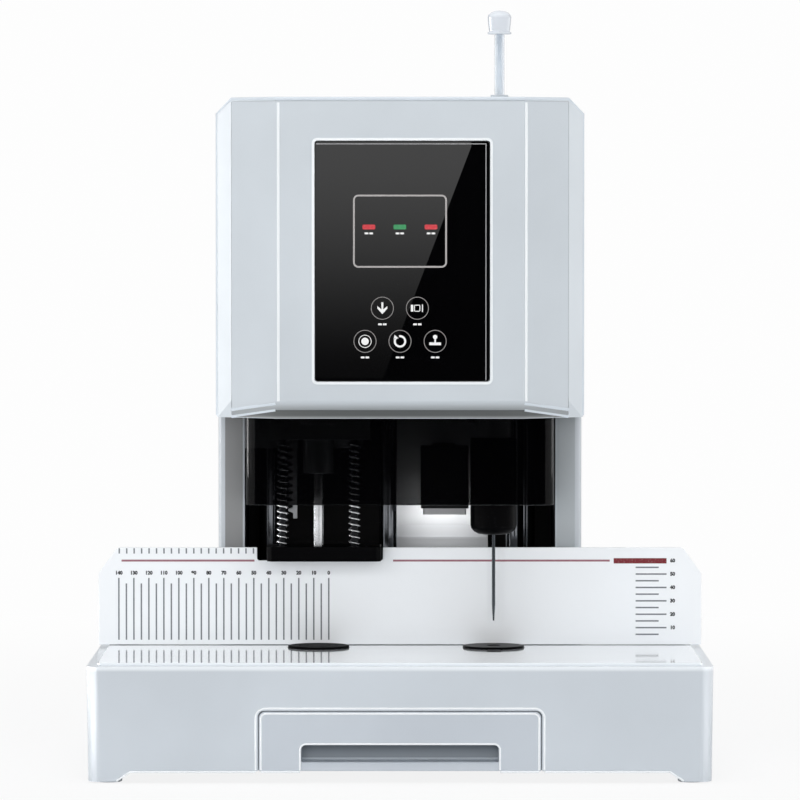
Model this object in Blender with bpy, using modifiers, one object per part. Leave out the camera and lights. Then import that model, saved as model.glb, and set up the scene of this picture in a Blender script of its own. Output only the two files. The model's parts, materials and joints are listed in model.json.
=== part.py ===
"""Desk machine that drills a stack of paper and rivets it with a hot-pressed nylon tube.

Metres, +Z up. The front faces -Y, and +X is to the right as the front is seen. The origin lies on
the desk, under the middle of the base. Every place in depth is worked out from the base's front.
"""

import math

import bmesh
import bpy
import numpy as np
from mathutils import Matrix, Vector

COLLECTION_NAME = "document_riveting_machine"

# Clearances that every fit uses
GAP = 0.0003
RUNNING = 0.0004
OVERRUN = 0.004

# Counts of sides and arc steps
ROUND_SIDES = 32
SMALL_SIDES = 16
ARC_STEPS = 5

# Base casing
BASE_WIDTH = 0.400
BASE_DEPTH = 0.350
BASE_TOP = 0.0743
BASE_WALL = 0.0025
BASE_DRAFT = 0.001
BASE_CORNER_RADIUS = 0.009
BASE_TOP_RADIUS = 0.003
SKIRT_BOTTOM = 0.0008
LOWER_EDGE = 0.0076
CORNER_FOOT_LENGTH = 0.020
CORNER_FOOT_SLANT = 0.008
FOOT_RADIUS = 0.009
FOOT_INSET = 0.0138
FLOOR_THICKNESS = 0.0015

# Chip drawer
DRAWER_WIDTH = 0.180
DRAWER_TOP = 0.0457
DRAWER_CORNER_RADIUS = 0.004
DRAWER_SEAM = 0.0006
DRAWER_PANEL = 0.003
FINGER_SLOT_WIDTH = 0.126
FINGER_SLOT_TOP = 0.0243
FINGER_LIP_TOP = 0.0133
FINGER_LIP_STEP = 0.0015
FINGER_SLOT_DEPTH = 0.016
FINGER_SLOT_RADIUS = 0.003
TRAY_WIDTH = 0.171
TRAY_LENGTH = 0.145
TRAY_TOP = 0.040
TRAY_WALL = 0.0015
RAIL_HEIGHT = 0.012
RAIL_THICKNESS = 0.0016

# Worktable, fence, pad and lower die
TABLE_WIDTH = 0.386
TABLE_THICKNESS = 0.0018
TABLE_FRONT_INSET = 0.006
TABLE_CORNER_RADIUS = 0.002
FENCE_SETBACK = 0.1505
FENCE_TOP = 0.1413
FENCE_THICKNESS = 0.003
FENCE_CORNER_WIDTH = 0.0125
FENCE_CORNER_HEIGHT = 0.0172
FENCE_CORNER_RADIUS = 0.005
FENCE_FLANGE_DEPTH = 0.011
FENCE_FLANGE_THICKNESS = 0.002
FENCE_FLANGE_INSET = 0.010
NOTCH_LEFT = -0.0947
NOTCH_RIGHT = -0.0113
NOTCH_BOTTOM = 0.1326
NOTCH_RADIUS = 0.0015
TOOL_SETBACK = 0.130
PAD_RADIUS = 0.0202
PAD_PROUD = 0.0015
PAD_CHAMFER = 0.0004
DIE_TAB_WIDTH = 0.0088
DIE_TAB_REACH = 0.014
DIE_BORE_RADIUS = 0.0019
DIE_RECESS_RADIUS = 0.0045
DIE_RECESS_DEPTH = 0.0008
DIE_STEM_RADIUS = 0.008
DIE_STEM_BOTTOM = 0.050

# Steel frame inside
FRAME_INNER_WIDTH = 0.208
FRAME_THICKNESS = 0.003
BED_THICKNESS = 0.008
BED_SETBACK = 0.100
FRAME_FOOT_SETBACK = 0.105
FRAME_COLUMN_SETBACK = 0.180
FRAME_HEAD_SETBACK = 0.092
FRAME_BACK_SETBACK = 0.325
FRAME_ARM_BOTTOM = 0.250
FRAME_TOP = 0.422
FRAME_TOP_PLATE_THICKNESS = 0.008
FRAME_TOP_PLATE_DROP = 0.002
FRAME_REAR_SETBACK = 0.273
COLUMN_RADIUS = 0.006
COLUMN_FRONT_SETBACK = 0.220
COLUMN_REAR_SETBACK = 0.255

# Head and column casings
HEAD_BOTTOM = 0.230
HEAD_TOP = 0.4375
HEAD_WALL = 0.0025
HEAD_FRONT_SETBACK = 0.060
HEAD_CREASE_WIDTH = 0.160
HEAD_FACET_WIDTH = 0.2185
HEAD_FACET_SETBACK = 0.080
HEAD_CORNER_WIDTH = 0.239
HEAD_CORNER_SETBACK = 0.092
HEAD_BACK_WIDTH = 0.248
HEAD_BACK_SETBACK = 0.343
HEAD_TOP_CHAMFER = 0.0145
HEAD_TOP_EASE = 0.002
HEAD_TUCK = 0.004
HEAD_TUCK_HEIGHT = 0.0113
COVER_JOINT_SETBACK = 0.0855
CHEEK_SETBACK = 0.168
CHEEK_WIDTH = 0.0175
CHEEK_CORNER_RADIUS = 0.005
LIP_THICKNESS = 0.002
LIP_OPENING_WIDTH = 0.196
LIP_OPENING_SETBACK = 0.0945
REAR_COVER_THICKNESS = 0.0025
VENT_COUNT = 10
VENT_WIDTH = 0.070
VENT_HEIGHT = 0.0035
VENT_PITCH = 0.0085
VENT_TOP = 0.400

# Glass touch panel
GLASS_LEFT = -0.0549
GLASS_RIGHT = 0.0579
GLASS_BOTTOM = 0.2543
GLASS_TOP = 0.4093
GLASS_THICKNESS = 0.003
GLASS_PROUD = 0.0004
GLASS_CORNER_RADIUS = 0.002

# Smoked guard
GUARD_WIDTH = 0.201
GUARD_SETBACK = 0.092
GUARD_RETURN_SETBACK = 0.1645
GUARD_BOTTOM = 0.1723
GUARD_THICKNESS = 0.0025
GUARD_BEND_RADIUS = 0.006

# White centre cover and its lamp
CENTRE_COVER_LEFT = -0.006
CENTRE_COVER_RIGHT = 0.060
CENTRE_COVER_BOTTOM = 0.1395
CENTRE_COVER_TOP = 0.226
CENTRE_COVER_THICKNESS = 0.0025
CENTRE_COVER_FOOT = 0.010
LAMP_LEFT = 0.014
LAMP_RIGHT = 0.046
LAMP_BOTTOM = 0.1647
LAMP_TOP = 0.206
LAMP_FRONT_SETBACK = 0.195
LAMP_BACK_SETBACK = 0.225
LAMP_ARM_HEIGHT = 0.010
LAMP_ARM_INSET = 0.008

# Drill unit
DRILL_X = -0.0537
DRILL_COLUMN_FRONT_X = -0.008
DRILL_COLUMN_REAR_X = -0.090
CARRIAGE_BOTTOM = 0.300
CARRIAGE_THICKNESS = 0.012
CARRIAGE_FRONT_SETBACK = 0.113
CARRIAGE_BACK_SETBACK = 0.268
DRILL_CARRIAGE_LEFT = -0.1030
DRILL_CARRIAGE_RIGHT = 0.0020
CARRIAGE_CORNER_RADIUS = 0.004
BUSH_RADIUS = 0.009
BUSH_FLANGE_RADIUS = 0.0115
BUSH_FLANGE_THICKNESS = 0.003
BUSH_DROP = 0.030
BOSS_RADIUS = 0.0105
BOSS_DROP = 0.022
SPINDLE_HOUSING_RADIUS = 0.016
SEAT_BOTTOM = 0.214
SEAT_THICKNESS = 0.020
SEAT_DEPTH = 0.022
SEAT_MARGIN = 0.0105
SPINDLE_RADIUS = 0.007
SPINDLE_BORE_RADIUS = 0.0020
NOSE_RADIUS = 0.010
NOSE_LENGTH = 0.022
NOSE_SOCKET_DEPTH = 0.016
BIT_RADIUS = 0.0033
BIT_BORE_RADIUS = 0.0022
BIT_EDGE_WIDTH = 0.0004
BIT_EDGE_HEIGHT = 0.0012
BIT_CLEAR_OF_FOOT = 0.0002
PULLEY_LIFT = 0.0035
PULLEY_HEIGHT = 0.012
PULLEY_FLANGE = 0.0015
SPINDLE_PULLEY_RADIUS = 0.018
MOTOR_PULLEY_RADIUS = 0.012
BELT_THICKNESS = 0.0018
MOTOR_X = -0.043
MOTOR_SETBACK = 0.205
MOTOR_RADIUS = 0.023
MOTOR_LENGTH = 0.094
MOTOR_CAP_RADIUS = 0.018
MOTOR_CAP_HEIGHT = 0.006
MOTOR_SHAFT_RADIUS = 0.0025

# Presser foot with its rods and springs
FOOT_LEFT = -0.0875
FOOT_RIGHT = -0.0125
FOOT_FRONT_SETBACK = 0.115
FOOT_BACK_SETBACK = 0.148
FOOT_BOTTOM = 0.1340
FOOT_THICKNESS = 0.0097
FOOT_CORNER = 0.003
ROD_SPACING = 0.0472
ROD_RADIUS = 0.0022
ROD_HEAD_RADIUS = 0.0045
ROD_HEAD_HEIGHT = 0.003
ROD_SEAT_SHARE = 0.5
SPRING_RADIUS = 0.00335
SPRING_WIRE = 0.0012
SPRING_CURLS = 17
SPRING_POINTS_PER_CURL = 8

# Rack and pinion of the drill feed
GEAR_MODULE = 0.0015
PINION_TEETH = 16
PINION_X = -0.085
PINION_Z = 0.224
GEAR_FACE_WIDTH = 0.008
GEAR_SETBACK = 0.1665
GEAR_BACKLASH = 0.00035
PRESSURE_ANGLE = math.radians(20.0)
ADDENDUM_SHARE = 0.9
DEDENDUM_SHARE = 1.25
RACK_BACK = 0.0045
RACK_BOTTOM = 0.1596
PINION_SHAFT_RADIUS = 0.003
FEED_MOTOR_RADIUS = 0.017
FEED_MOTOR_LENGTH = 0.052
FEED_MOTOR_FACE_HEIGHT = 0.036
FEED_MOTOR_FACE_THICKNESS = 0.003

# Rivet unit
RIVET_X = 0.0617
RIVET_CARRIAGE_LEFT = 0.0060
RIVET_CARRIAGE_RIGHT = 0.0970
RIVET_COLUMN_FRONT_X = 0.0775
RIVET_COLUMN_REAR_X = 0.086
RIVET_HEAD_RADIUS = 0.0153
RIVET_HEAD_BOTTOM = 0.1513
RIVET_HEAD_SHOULDER = 0.0062
RIVET_HEAD_TIP_RADIUS = 0.0072
RIVET_HEAD_TOP = 0.2147
RIVET_NECK_RADIUS = 0.012
NEEDLE_RADIUS = 0.0011
NEEDLE_TIP = 0.0941
NEEDLE_TIP_LENGTH = 0.011
NEEDLE_POINT_RADIUS = 0.0005
NEEDLE_CLAMP_RADIUS = 0.008
NEEDLE_CLAMP_HEIGHT = 0.011
NEEDLE_CLAMP_LIFT = 0.0005
SCREW_X = 0.045
SCREW_SETBACK = 0.206
SCREW_RADIUS = 0.005
SCREW_BOTTOM = 0.222
NUT_RADIUS = 0.0105
NUT_DROP = 0.016
RIVET_MOTOR_RADIUS = 0.021
RIVET_MOTOR_LENGTH = 0.056
RIVET_MOTOR_LIP = 0.0015

# Nylon tube and its guide
TUBE_X = 0.0654
TUBE_RADIUS = 0.0033
TUBE_BORE_RADIUS = 0.0019
TUBE_STANDOUT = 0.0425
TUBE_LENGTH = 0.068
GUIDE_RADIUS = 0.0048
GUIDE_BOTTOM = 0.373
GUIDE_FLANGE_RADIUS = 0.009
GUIDE_FLANGE_THICKNESS = 0.0025
COLLAR_RADIUS = 0.0058
COLLAR_HEIGHT = 0.003
CAP_RADIUS = 0.0078
CAP_RISE = 0.016
CAP_SHOULDER = 0.0045
CAP_FLANGE_THICKNESS = 0.0015
CAP_WAIST_RADIUS = 0.0068
STEM_LENGTH = 0.018
STEM_TIP_RADIUS = 0.0007

# Electrics
BOARD_WIDTH = 0.150
BOARD_BOTTOM = 0.250
BOARD_TOP = 0.370
BOARD_THICKNESS = 0.0016
BOARD_STANDOFF = 0.011
STANDOFF_RADIUS = 0.003
STANDOFF_INSET = 0.008
CHIP_HEIGHT = 0.004
HEATSINK_HEIGHT = 0.016
TRANSFORMER_X = 0.060
TRANSFORMER_SETBACK = 0.225
TRANSFORMER_WIDTH = 0.062
TRANSFORMER_DEPTH = 0.050
TRANSFORMER_HEIGHT = 0.044
COIL_OVERHANG = 0.009
COIL_INSET = 0.009
INLET_X = -0.072
INLET_Z = 0.118
INLET_WIDTH = 0.054
INLET_HEIGHT = 0.034
INLET_DEPTH = 0.024
INLET_FLANGE = 0.003
INLET_FLANGE_THICKNESS = 0.002
SOCKET_WIDTH = 0.024
SOCKET_HEIGHT = 0.016
SOCKET_DEPTH = 0.015
SOCKET_OFFSET = 0.0125
PIN_WIDTH = 0.002
PIN_HEIGHT = 0.004
PIN_LENGTH = 0.012
PIN_SPACING = 0.007
ROCKER_OFFSET = 0.0165
ROCKER_WIDTH = 0.013
ROCKER_HEIGHT = 0.020
ROCKER_DEPTH = 0.007
ROCKER_PROUD = 0.0012
ROCKER_TRAVEL = math.radians(16.0)
ROCKER_POCKET_DEPTH = 0.013

# Places that follow from the sizes above
FRONT_Y = -BASE_DEPTH / 2
BASE_HALF = BASE_WIDTH / 2
TUBE_TOP = HEAD_TOP + TUBE_STANDOUT
TUBE_BOTTOM = TUBE_TOP - TUBE_LENGTH
CAP_TOP = TUBE_TOP + CAP_RISE
FENCE_WIDTH = BASE_WIDTH
TABLE_TOP = BASE_TOP + GAP + TABLE_THICKNESS
FLOOR_BOTTOM = LOWER_EDGE + GAP
FLOOR_TOP = FLOOR_BOTTOM + FLOOR_THICKNESS
BED_TOP = BASE_TOP - BASE_WALL - GAP
TOOL_Y = FRONT_Y + TOOL_SETBACK
FENCE_FRONT = FRONT_Y + FENCE_SETBACK
FRAME_HALF = FRAME_INNER_WIDTH / 2
FRAME_REAR_Y = FRONT_Y + FRAME_REAR_SETBACK
FRAME_PLATE_TOP = FRAME_TOP - FRAME_TOP_PLATE_DROP
FRAME_PLATE_BOTTOM = FRAME_PLATE_TOP - FRAME_TOP_PLATE_THICKNESS
COLUMN_FRONT_Y = FRONT_Y + COLUMN_FRONT_SETBACK
COLUMN_REAR_Y = FRONT_Y + COLUMN_REAR_SETBACK
CARRIAGE_TOP = CARRIAGE_BOTTOM + CARRIAGE_THICKNESS
SEAT_TOP = SEAT_BOTTOM + SEAT_THICKNESS
FOOT_TOP = FOOT_BOTTOM + FOOT_THICKNESS
PULLEY_BOTTOM = CARRIAGE_TOP + PULLEY_LIFT
PULLEY_TOP = PULLEY_BOTTOM + PULLEY_HEIGHT
MOTOR_Y = FRONT_Y + MOTOR_SETBACK
PITCH_RADIUS = GEAR_MODULE * PINION_TEETH / 2
GEAR_FRONT = FRONT_Y + GEAR_SETBACK
SCREW_Y = FRONT_Y + SCREW_SETBACK
BACK_Y = FRONT_Y + HEAD_BACK_SETBACK

# Colours, as linear red, green and blue
SHELL_GREY = (0.58, 0.64, 0.69)
BASE_GREY = (0.56, 0.61, 0.66)
DRAWER_GREY = (0.51, 0.56, 0.61)
NEAR_WHITE = (0.84, 0.87, 0.91)
BLACK_PLASTIC = (0.012, 0.012, 0.013)
BLACK_STEEL = (0.02, 0.02, 0.022)
CHROME = (0.75, 0.76, 0.78)
STEEL = (0.45, 0.46, 0.48)
ALUMINIUM = (0.62, 0.63, 0.65)
BRONZE = (0.50, 0.33, 0.15)
COPPER = (0.60, 0.27, 0.12)
RUBBER_BLACK = (0.015, 0.015, 0.015)
GLASS_BLACK = (0.006, 0.006, 0.007)
SMOKED = (0.02, 0.02, 0.022)
NYLON = (0.80, 0.84, 0.88)
BOARD_GREEN = (0.02, 0.13, 0.06)


def clear_scene():
    """Remove every object that the file starts with."""
    for obj in list(bpy.data.objects):
        bpy.data.objects.remove(obj, do_unlink=True)


def named_collection(name):
    """A new collection under the scene's own."""
    collection = bpy.data.collections.new(name)
    bpy.context.scene.collection.children.link(collection)
    return collection


clear_scene()
PARTS = named_collection(COLLECTION_NAME)
CUTTERS = named_collection("cutters")
CUTTERS.hide_render = True


def finish(obj, colour, roughness, metallic=0.0, alpha=1.0):
    """Give a piece its own material and smooth its round faces."""
    material = bpy.data.materials.new(obj.name)
    material.use_nodes = True
    shader = material.node_tree.nodes["Principled BSDF"]
    shader.inputs["Base Color"].default_value = (*colour, 1.0)
    shader.inputs["Roughness"].default_value = roughness
    shader.inputs["Metallic"].default_value = metallic
    shader.inputs["Alpha"].default_value = alpha
    material.diffuse_color = (*colour, alpha)
    obj.data.materials.append(material)
    obj.data.shade_smooth()
    obj.data.set_sharp_from_angle(angle=math.radians(35.0))
    return obj


def place(name, mesh, location=(0.0, 0.0, 0.0)):
    """A new object of the machine that shows this mesh."""
    obj = bpy.data.objects.new(name, mesh)
    obj.location = location
    PARTS.objects.link(obj)
    return obj


def mesh_from(name, fill):
    """A mesh that the function fill makes in an empty bmesh."""
    bm = bmesh.new()
    fill(bm)
    bmesh.ops.recalc_face_normals(bm, faces=bm.faces)
    mesh = bpy.data.meshes.new(name)
    bm.to_mesh(mesh)
    bm.free()
    return mesh


def add_box(bm, low, high):
    """Add a box between two corners to a bmesh."""
    middle = (Vector(low) + Vector(high)) / 2
    size = Vector(high) - Vector(low)
    matrix = Matrix.Translation(middle) @ Matrix.Diagonal((*size, 1.0))
    bmesh.ops.create_cube(bm, size=1.0, matrix=matrix)


def add_rod(bm, start, end, radius, sides=ROUND_SIDES, end_radius=None):
    """Add a cylinder or a cone between two points to a bmesh."""
    start, end = Vector(start), Vector(end)
    along = end - start
    turn = along.to_track_quat("Z", "Y").to_matrix().to_4x4()
    matrix = Matrix.Translation((start + end) / 2) @ turn
    bmesh.ops.create_cone(
        bm,
        cap_ends=True,
        segments=sides,
        radius1=radius,
        radius2=radius if end_radius is None else end_radius,
        depth=along.length,
        matrix=matrix,
    )


def shapes_mesh(name, boxes=(), rods=()):
    """A mesh of loose boxes and rods."""

    def fill(bm):
        for box in boxes:
            add_box(bm, *box)
        for rod in rods:
            add_rod(bm, *rod)

    return mesh_from(name, fill)


def box(name, low, high):
    """A piece that is one box."""
    return place(name, shapes_mesh(name, boxes=[(low, high)]))


def rod(name, start, end, radius, sides=ROUND_SIDES):
    """A piece that is one cylinder, with its origin at its start."""
    start, end = Vector(start), Vector(end)
    mesh = shapes_mesh(name, rods=[((0.0, 0.0, 0.0), end - start, radius, sides)])
    return place(name, mesh, start)


def as_cutter(obj):
    """Take a helper out of the machine's own pieces."""
    PARTS.objects.unlink(obj)
    CUTTERS.objects.link(obj)
    obj.hide_render = True
    obj.display_type = "WIRE"
    return obj


def combine(target, helper, operation):
    """Cut, join or meet a piece with a helper, which leaves the machine's own pieces."""
    modifier = target.modifiers.new(helper.name, "BOOLEAN")
    modifier.operation = operation
    modifier.solver = "EXACT"
    modifier.object = as_cutter(helper)
    return target


def cut(target, name, boxes=(), rods=()):
    """Cut boxes and rods that don't touch each other out of a piece."""
    helper = place(f"{target.name}_{name}", shapes_mesh(name, boxes, rods))
    return combine(target, helper, "DIFFERENCE")


def join(target, name, boxes=(), rods=()):
    """Add boxes and rods to a piece, one after the other."""
    for number, shape in enumerate(boxes):
        helper = place(f"{target.name}_{name}_box_{number}", shapes_mesh(name, boxes=[shape]))
        combine(target, helper, "UNION")
    for number, shape in enumerate(rods):
        helper = place(f"{target.name}_{name}_rod_{number}", shapes_mesh(name, rods=[shape]))
        combine(target, helper, "UNION")
    return target


def arc(centre, radius, start, end, steps=ARC_STEPS):
    """Points along a round stretch, from one angle to another in degrees."""
    points = []
    for angle in np.radians(np.linspace(start, end, steps + 1)):
        points.append((centre[0] + radius * math.cos(angle), centre[1] + radius * math.sin(angle)))
    return points


def rounded(corners, radii, steps=ARC_STEPS):
    """An outline through corners, each with its own rounding radius."""
    points = []
    for index, corner in enumerate(corners):
        here = Vector(corner)
        before = Vector(corners[index - 1]) - here
        after = Vector(corners[(index + 1) % len(corners)]) - here
        radius = radii[index]
        if radius == 0:
            points.append(tuple(here))
            continue
        before.normalize()
        after.normalize()
        half = before.angle(after) / 2
        reach = radius / math.tan(half)
        middle = here + (before + after).normalized() * (radius / math.sin(half))
        first = here + before * reach - middle
        last = here + after * reach - middle
        turn = first.angle_signed(last)
        for step in range(steps + 1):
            share = step / steps
            spin = Matrix.Rotation(-turn * share, 2)
            points.append(tuple(middle + spin @ first))
    return points


def plate(name, outline, low, high, facing="Z"):
    """A flat outline made thick from low to high along the axis that it faces.

    The outline's points are (x, y) for a plate facing Z, (x, z) for Y and (y, z) for X.
    """
    curve = bpy.data.curves.new(name, "CURVE")
    curve.dimensions = "2D"
    curve.fill_mode = "BOTH"
    curve.extrude = (high - low) / 2
    spline = curve.splines.new("POLY")
    spline.points.add(len(outline) - 1)
    for point, (across, up) in zip(spline.points, outline):
        point.co = (across, up, 0.0, 1.0)
    spline.use_cyclic_u = True
    guide = place(name + "_outline", curve)
    bpy.context.view_layer.update()
    flat = guide.evaluated_get(bpy.context.evaluated_depsgraph_get())
    mesh = bpy.data.meshes.new_from_object(flat)
    mesh.name = name
    bpy.data.objects.remove(guide, do_unlink=True)
    bpy.data.curves.remove(curve)
    bm = bmesh.new()
    bm.from_mesh(mesh)
    bmesh.ops.remove_doubles(bm, verts=bm.verts, dist=GAP / 100)
    middle = (low + high) / 2
    if facing == "Z":
        matrix = Matrix.Translation((0.0, 0.0, middle))
    elif facing == "Y":
        matrix = Matrix.Translation((0.0, middle, 0.0)) @ Matrix.Rotation(math.pi / 2, 4, "X")
    else:
        upright = Matrix.Rotation(math.pi / 2, 4, "Z") @ Matrix.Rotation(math.pi / 2, 4, "X")
        matrix = Matrix.Translation((middle, 0.0, 0.0)) @ upright
    bmesh.ops.transform(bm, matrix=matrix, verts=bm.verts)
    bmesh.ops.recalc_face_normals(bm, faces=bm.faces)
    bm.to_mesh(mesh)
    bm.free()
    return place(name, mesh)


def lofted(name, rings):
    """A closed solid through outlines of equal counts, given as (height, outline) from the foot up."""
    bm = bmesh.new()
    loops = [[bm.verts.new((x, y, z)) for x, y in outline] for z, outline in rings]
    count = len(loops[0])
    for lower, upper in zip(loops, loops[1:]):
        for index in range(count):
            following = (index + 1) % count
            bm.faces.new((lower[index], lower[following], upper[following], upper[index]))
    bm.faces.new(loops[0][::-1])
    bm.faces.new(loops[-1])
    bmesh.ops.recalc_face_normals(bm, faces=bm.faces)
    mesh = bpy.data.meshes.new(name)
    bm.to_mesh(mesh)
    bm.free()
    return place(name, mesh)


def rectangle(left, right, low, high, radius=0.0, steps=ARC_STEPS):
    """A rectangular outline, with round corners where a radius is given."""
    corners = [(left, low), (right, low), (right, high), (left, high)]
    return rounded(corners, [radius] * len(corners), steps)


def turned(name, profile, centre, sides=ROUND_SIDES, ring=False):
    """A turned piece about an upright axis.

    The profile is (radius, height) from the top, down the outer side. A ring's profile closes on
    itself, and any other profile starts and ends on the axis.
    """
    mesh = bpy.data.meshes.new(name)
    points = [(radius, 0.0, height) for radius, height in profile]
    edges = [(index, index + 1) for index in range(len(points) - 1)]
    if ring:
        edges.append((len(points) - 1, 0))
    mesh.from_pydata(points, edges, [])
    obj = place(name, mesh, (*centre, 0.0))
    screw = obj.modifiers.new("turn", "SCREW")
    screw.axis = "Z"
    screw.angle = math.tau
    screw.steps = sides
    screw.render_steps = sides
    screw.use_merge_vertices = True
    screw.merge_threshold = GAP / 100
    screw.use_smooth_shade = False
    return obj


def soften(obj, radius, wanted, segments=3):
    """Round the edges of a piece for which the test wanted(first, last) is true."""
    bm = bmesh.new()
    bm.from_mesh(obj.data)
    edges = [edge for edge in bm.edges if wanted(edge.verts[0].co, edge.verts[1].co)]
    bmesh.ops.bevel(
        bm,
        geom=edges,
        offset=radius,
        segments=segments,
        profile=0.5,
        affect="EDGES",
        clamp_overlap=True,
    )
    bm.to_mesh(obj.data)
    bm.free()
    return obj


def half_width_at(setback):
    """Half the outer width of the head and the column at a place behind the base's front."""
    along = (setback - HEAD_CORNER_SETBACK) / (HEAD_BACK_SETBACK - HEAD_CORNER_SETBACK)
    return (HEAD_CORNER_WIDTH + along * (HEAD_BACK_WIDTH - HEAD_CORNER_WIDTH)) / 2


def base_shell():
    """The casing that the worktable lies on, open underneath."""
    outline = rectangle(-BASE_HALF, BASE_HALF, FRONT_Y, -FRONT_Y, BASE_CORNER_RADIUS)
    shell = plate("base_shell", outline, SKIRT_BOTTOM, BASE_TOP)
    for vertex in shell.data.vertices:
        if vertex.co.z < LOWER_EDGE:
            vertex.co.x *= 1.0 - BASE_DRAFT / BASE_HALF
    top = BASE_TOP - GAP
    soften(shell, BASE_TOP_RADIUS, lambda a, b: a.z > top and b.z > top)
    inner = plate(
        "base_hollow",
        rectangle(
            BASE_WALL + BASE_DRAFT - BASE_HALF,
            BASE_HALF - BASE_WALL - BASE_DRAFT,
            FRONT_Y + BASE_WALL,
            -FRONT_Y - BASE_WALL,
            BASE_CORNER_RADIUS - BASE_WALL,
        ),
        SKIRT_BOTTOM - OVERRUN,
        BASE_TOP - BASE_WALL,
    )
    combine(shell, inner, "DIFFERENCE")
    drawer_half = DRAWER_WIDTH / 2 + DRAWER_SEAM
    doorway = plate(
        "drawer_doorway",
        rounded(
            [
                (-drawer_half, SKIRT_BOTTOM - OVERRUN),
                (drawer_half, SKIRT_BOTTOM - OVERRUN),
                (drawer_half, DRAWER_TOP + DRAWER_SEAM),
                (-drawer_half, DRAWER_TOP + DRAWER_SEAM),
            ],
            [0, 0, DRAWER_CORNER_RADIUS, DRAWER_CORNER_RADIUS],
        ),
        FRONT_Y - OVERRUN,
        FRONT_Y + BASE_WALL + OVERRUN,
        "Y",
    )
    combine(shell, doorway, "DIFFERENCE")
    for facing, half in (("Y", BASE_HALF), ("X", BASE_DEPTH / 2)):
        foot = half - CORNER_FOOT_LENGTH
        arch = plate(
            f"skirt_arch_{facing}",
            [
                (-foot, SKIRT_BOTTOM - OVERRUN),
                (foot, SKIRT_BOTTOM - OVERRUN),
                (foot, SKIRT_BOTTOM),
                (foot - CORNER_FOOT_SLANT, LOWER_EDGE),
                (CORNER_FOOT_SLANT - foot, LOWER_EDGE),
                (-foot, SKIRT_BOTTOM),
            ],
            -BASE_HALF - OVERRUN,
            BASE_HALF + OVERRUN,
            facing,
        )
        combine(shell, arch, "DIFFERENCE")
    wall_top = BASE_TOP - BASE_WALL - OVERRUN
    roof = BASE_TOP + OVERRUN
    frame_reach = FRAME_HALF + FRAME_THICKNESS + RUNNING
    cut(
        shell,
        "openings",
        boxes=[
            (
                (-frame_reach, FRONT_Y + FRAME_COLUMN_SETBACK - RUNNING, wall_top),
                (frame_reach, FRONT_Y + FRAME_BACK_SETBACK + RUNNING, roof),
            )
        ],
        rods=[
            ((DRILL_X, TOOL_Y, wall_top), (DRILL_X, TOOL_Y, roof), PAD_RADIUS + GAP),
            ((RIVET_X, TOOL_Y, wall_top), (RIVET_X, TOOL_Y, roof), PAD_RADIUS + GAP),
        ],
    )
    return finish(shell, BASE_GREY, 0.35)


def base_plate():
    """The steel floor of the base, with the drawer's two rails."""
    half = BASE_HALF - BASE_WALL - BASE_DRAFT - GAP
    depth = BASE_DEPTH / 2 - BASE_WALL - GAP
    outline = rectangle(-half, half, -depth, depth, BASE_CORNER_RADIUS - BASE_WALL)
    floor = plate("base_plate", outline, FLOOR_BOTTOM, FLOOR_TOP)
    inner = TRAY_WIDTH / 2 + GAP
    back = FRONT_Y + DRAWER_PANEL + FINGER_SLOT_DEPTH + TRAY_LENGTH
    for side in (-1, 1):
        low = (min(side * inner, side * (inner + RAIL_THICKNESS)), -depth + OVERRUN, FLOOR_BOTTOM)
        high = (
            max(side * inner, side * (inner + RAIL_THICKNESS)),
            back,
            FLOOR_TOP + RAIL_HEIGHT,
        )
        join(floor, f"rail_{side}", boxes=[(low, high)])
    cut(
        floor,
        "door",
        boxes=[
            (
                (-DRAWER_WIDTH / 2 - DRAWER_SEAM, FRONT_Y, FLOOR_BOTTOM - OVERRUN),
                (DRAWER_WIDTH / 2 + DRAWER_SEAM, FRONT_Y + DRAWER_PANEL + GAP, FLOOR_TOP + OVERRUN),
            )
        ],
    )
    return finish(floor, STEEL, 0.5, 1.0)


def base_feet():
    """Four rubber feet under the floor, just lower than the casing's corners."""
    across = BASE_HALF - FOOT_INSET
    along = BASE_DEPTH / 2 - FOOT_INSET
    for side, x in (("left", -across), ("right", across)):
        for end, y in (("front", -along), ("rear", along)):
            foot = rod(f"foot_{end}_{side}", (x, y, 0.0), (x, y, FLOOR_BOTTOM - GAP), FOOT_RADIUS)
            finish(foot, RUBBER_BLACK, 0.8)


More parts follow.
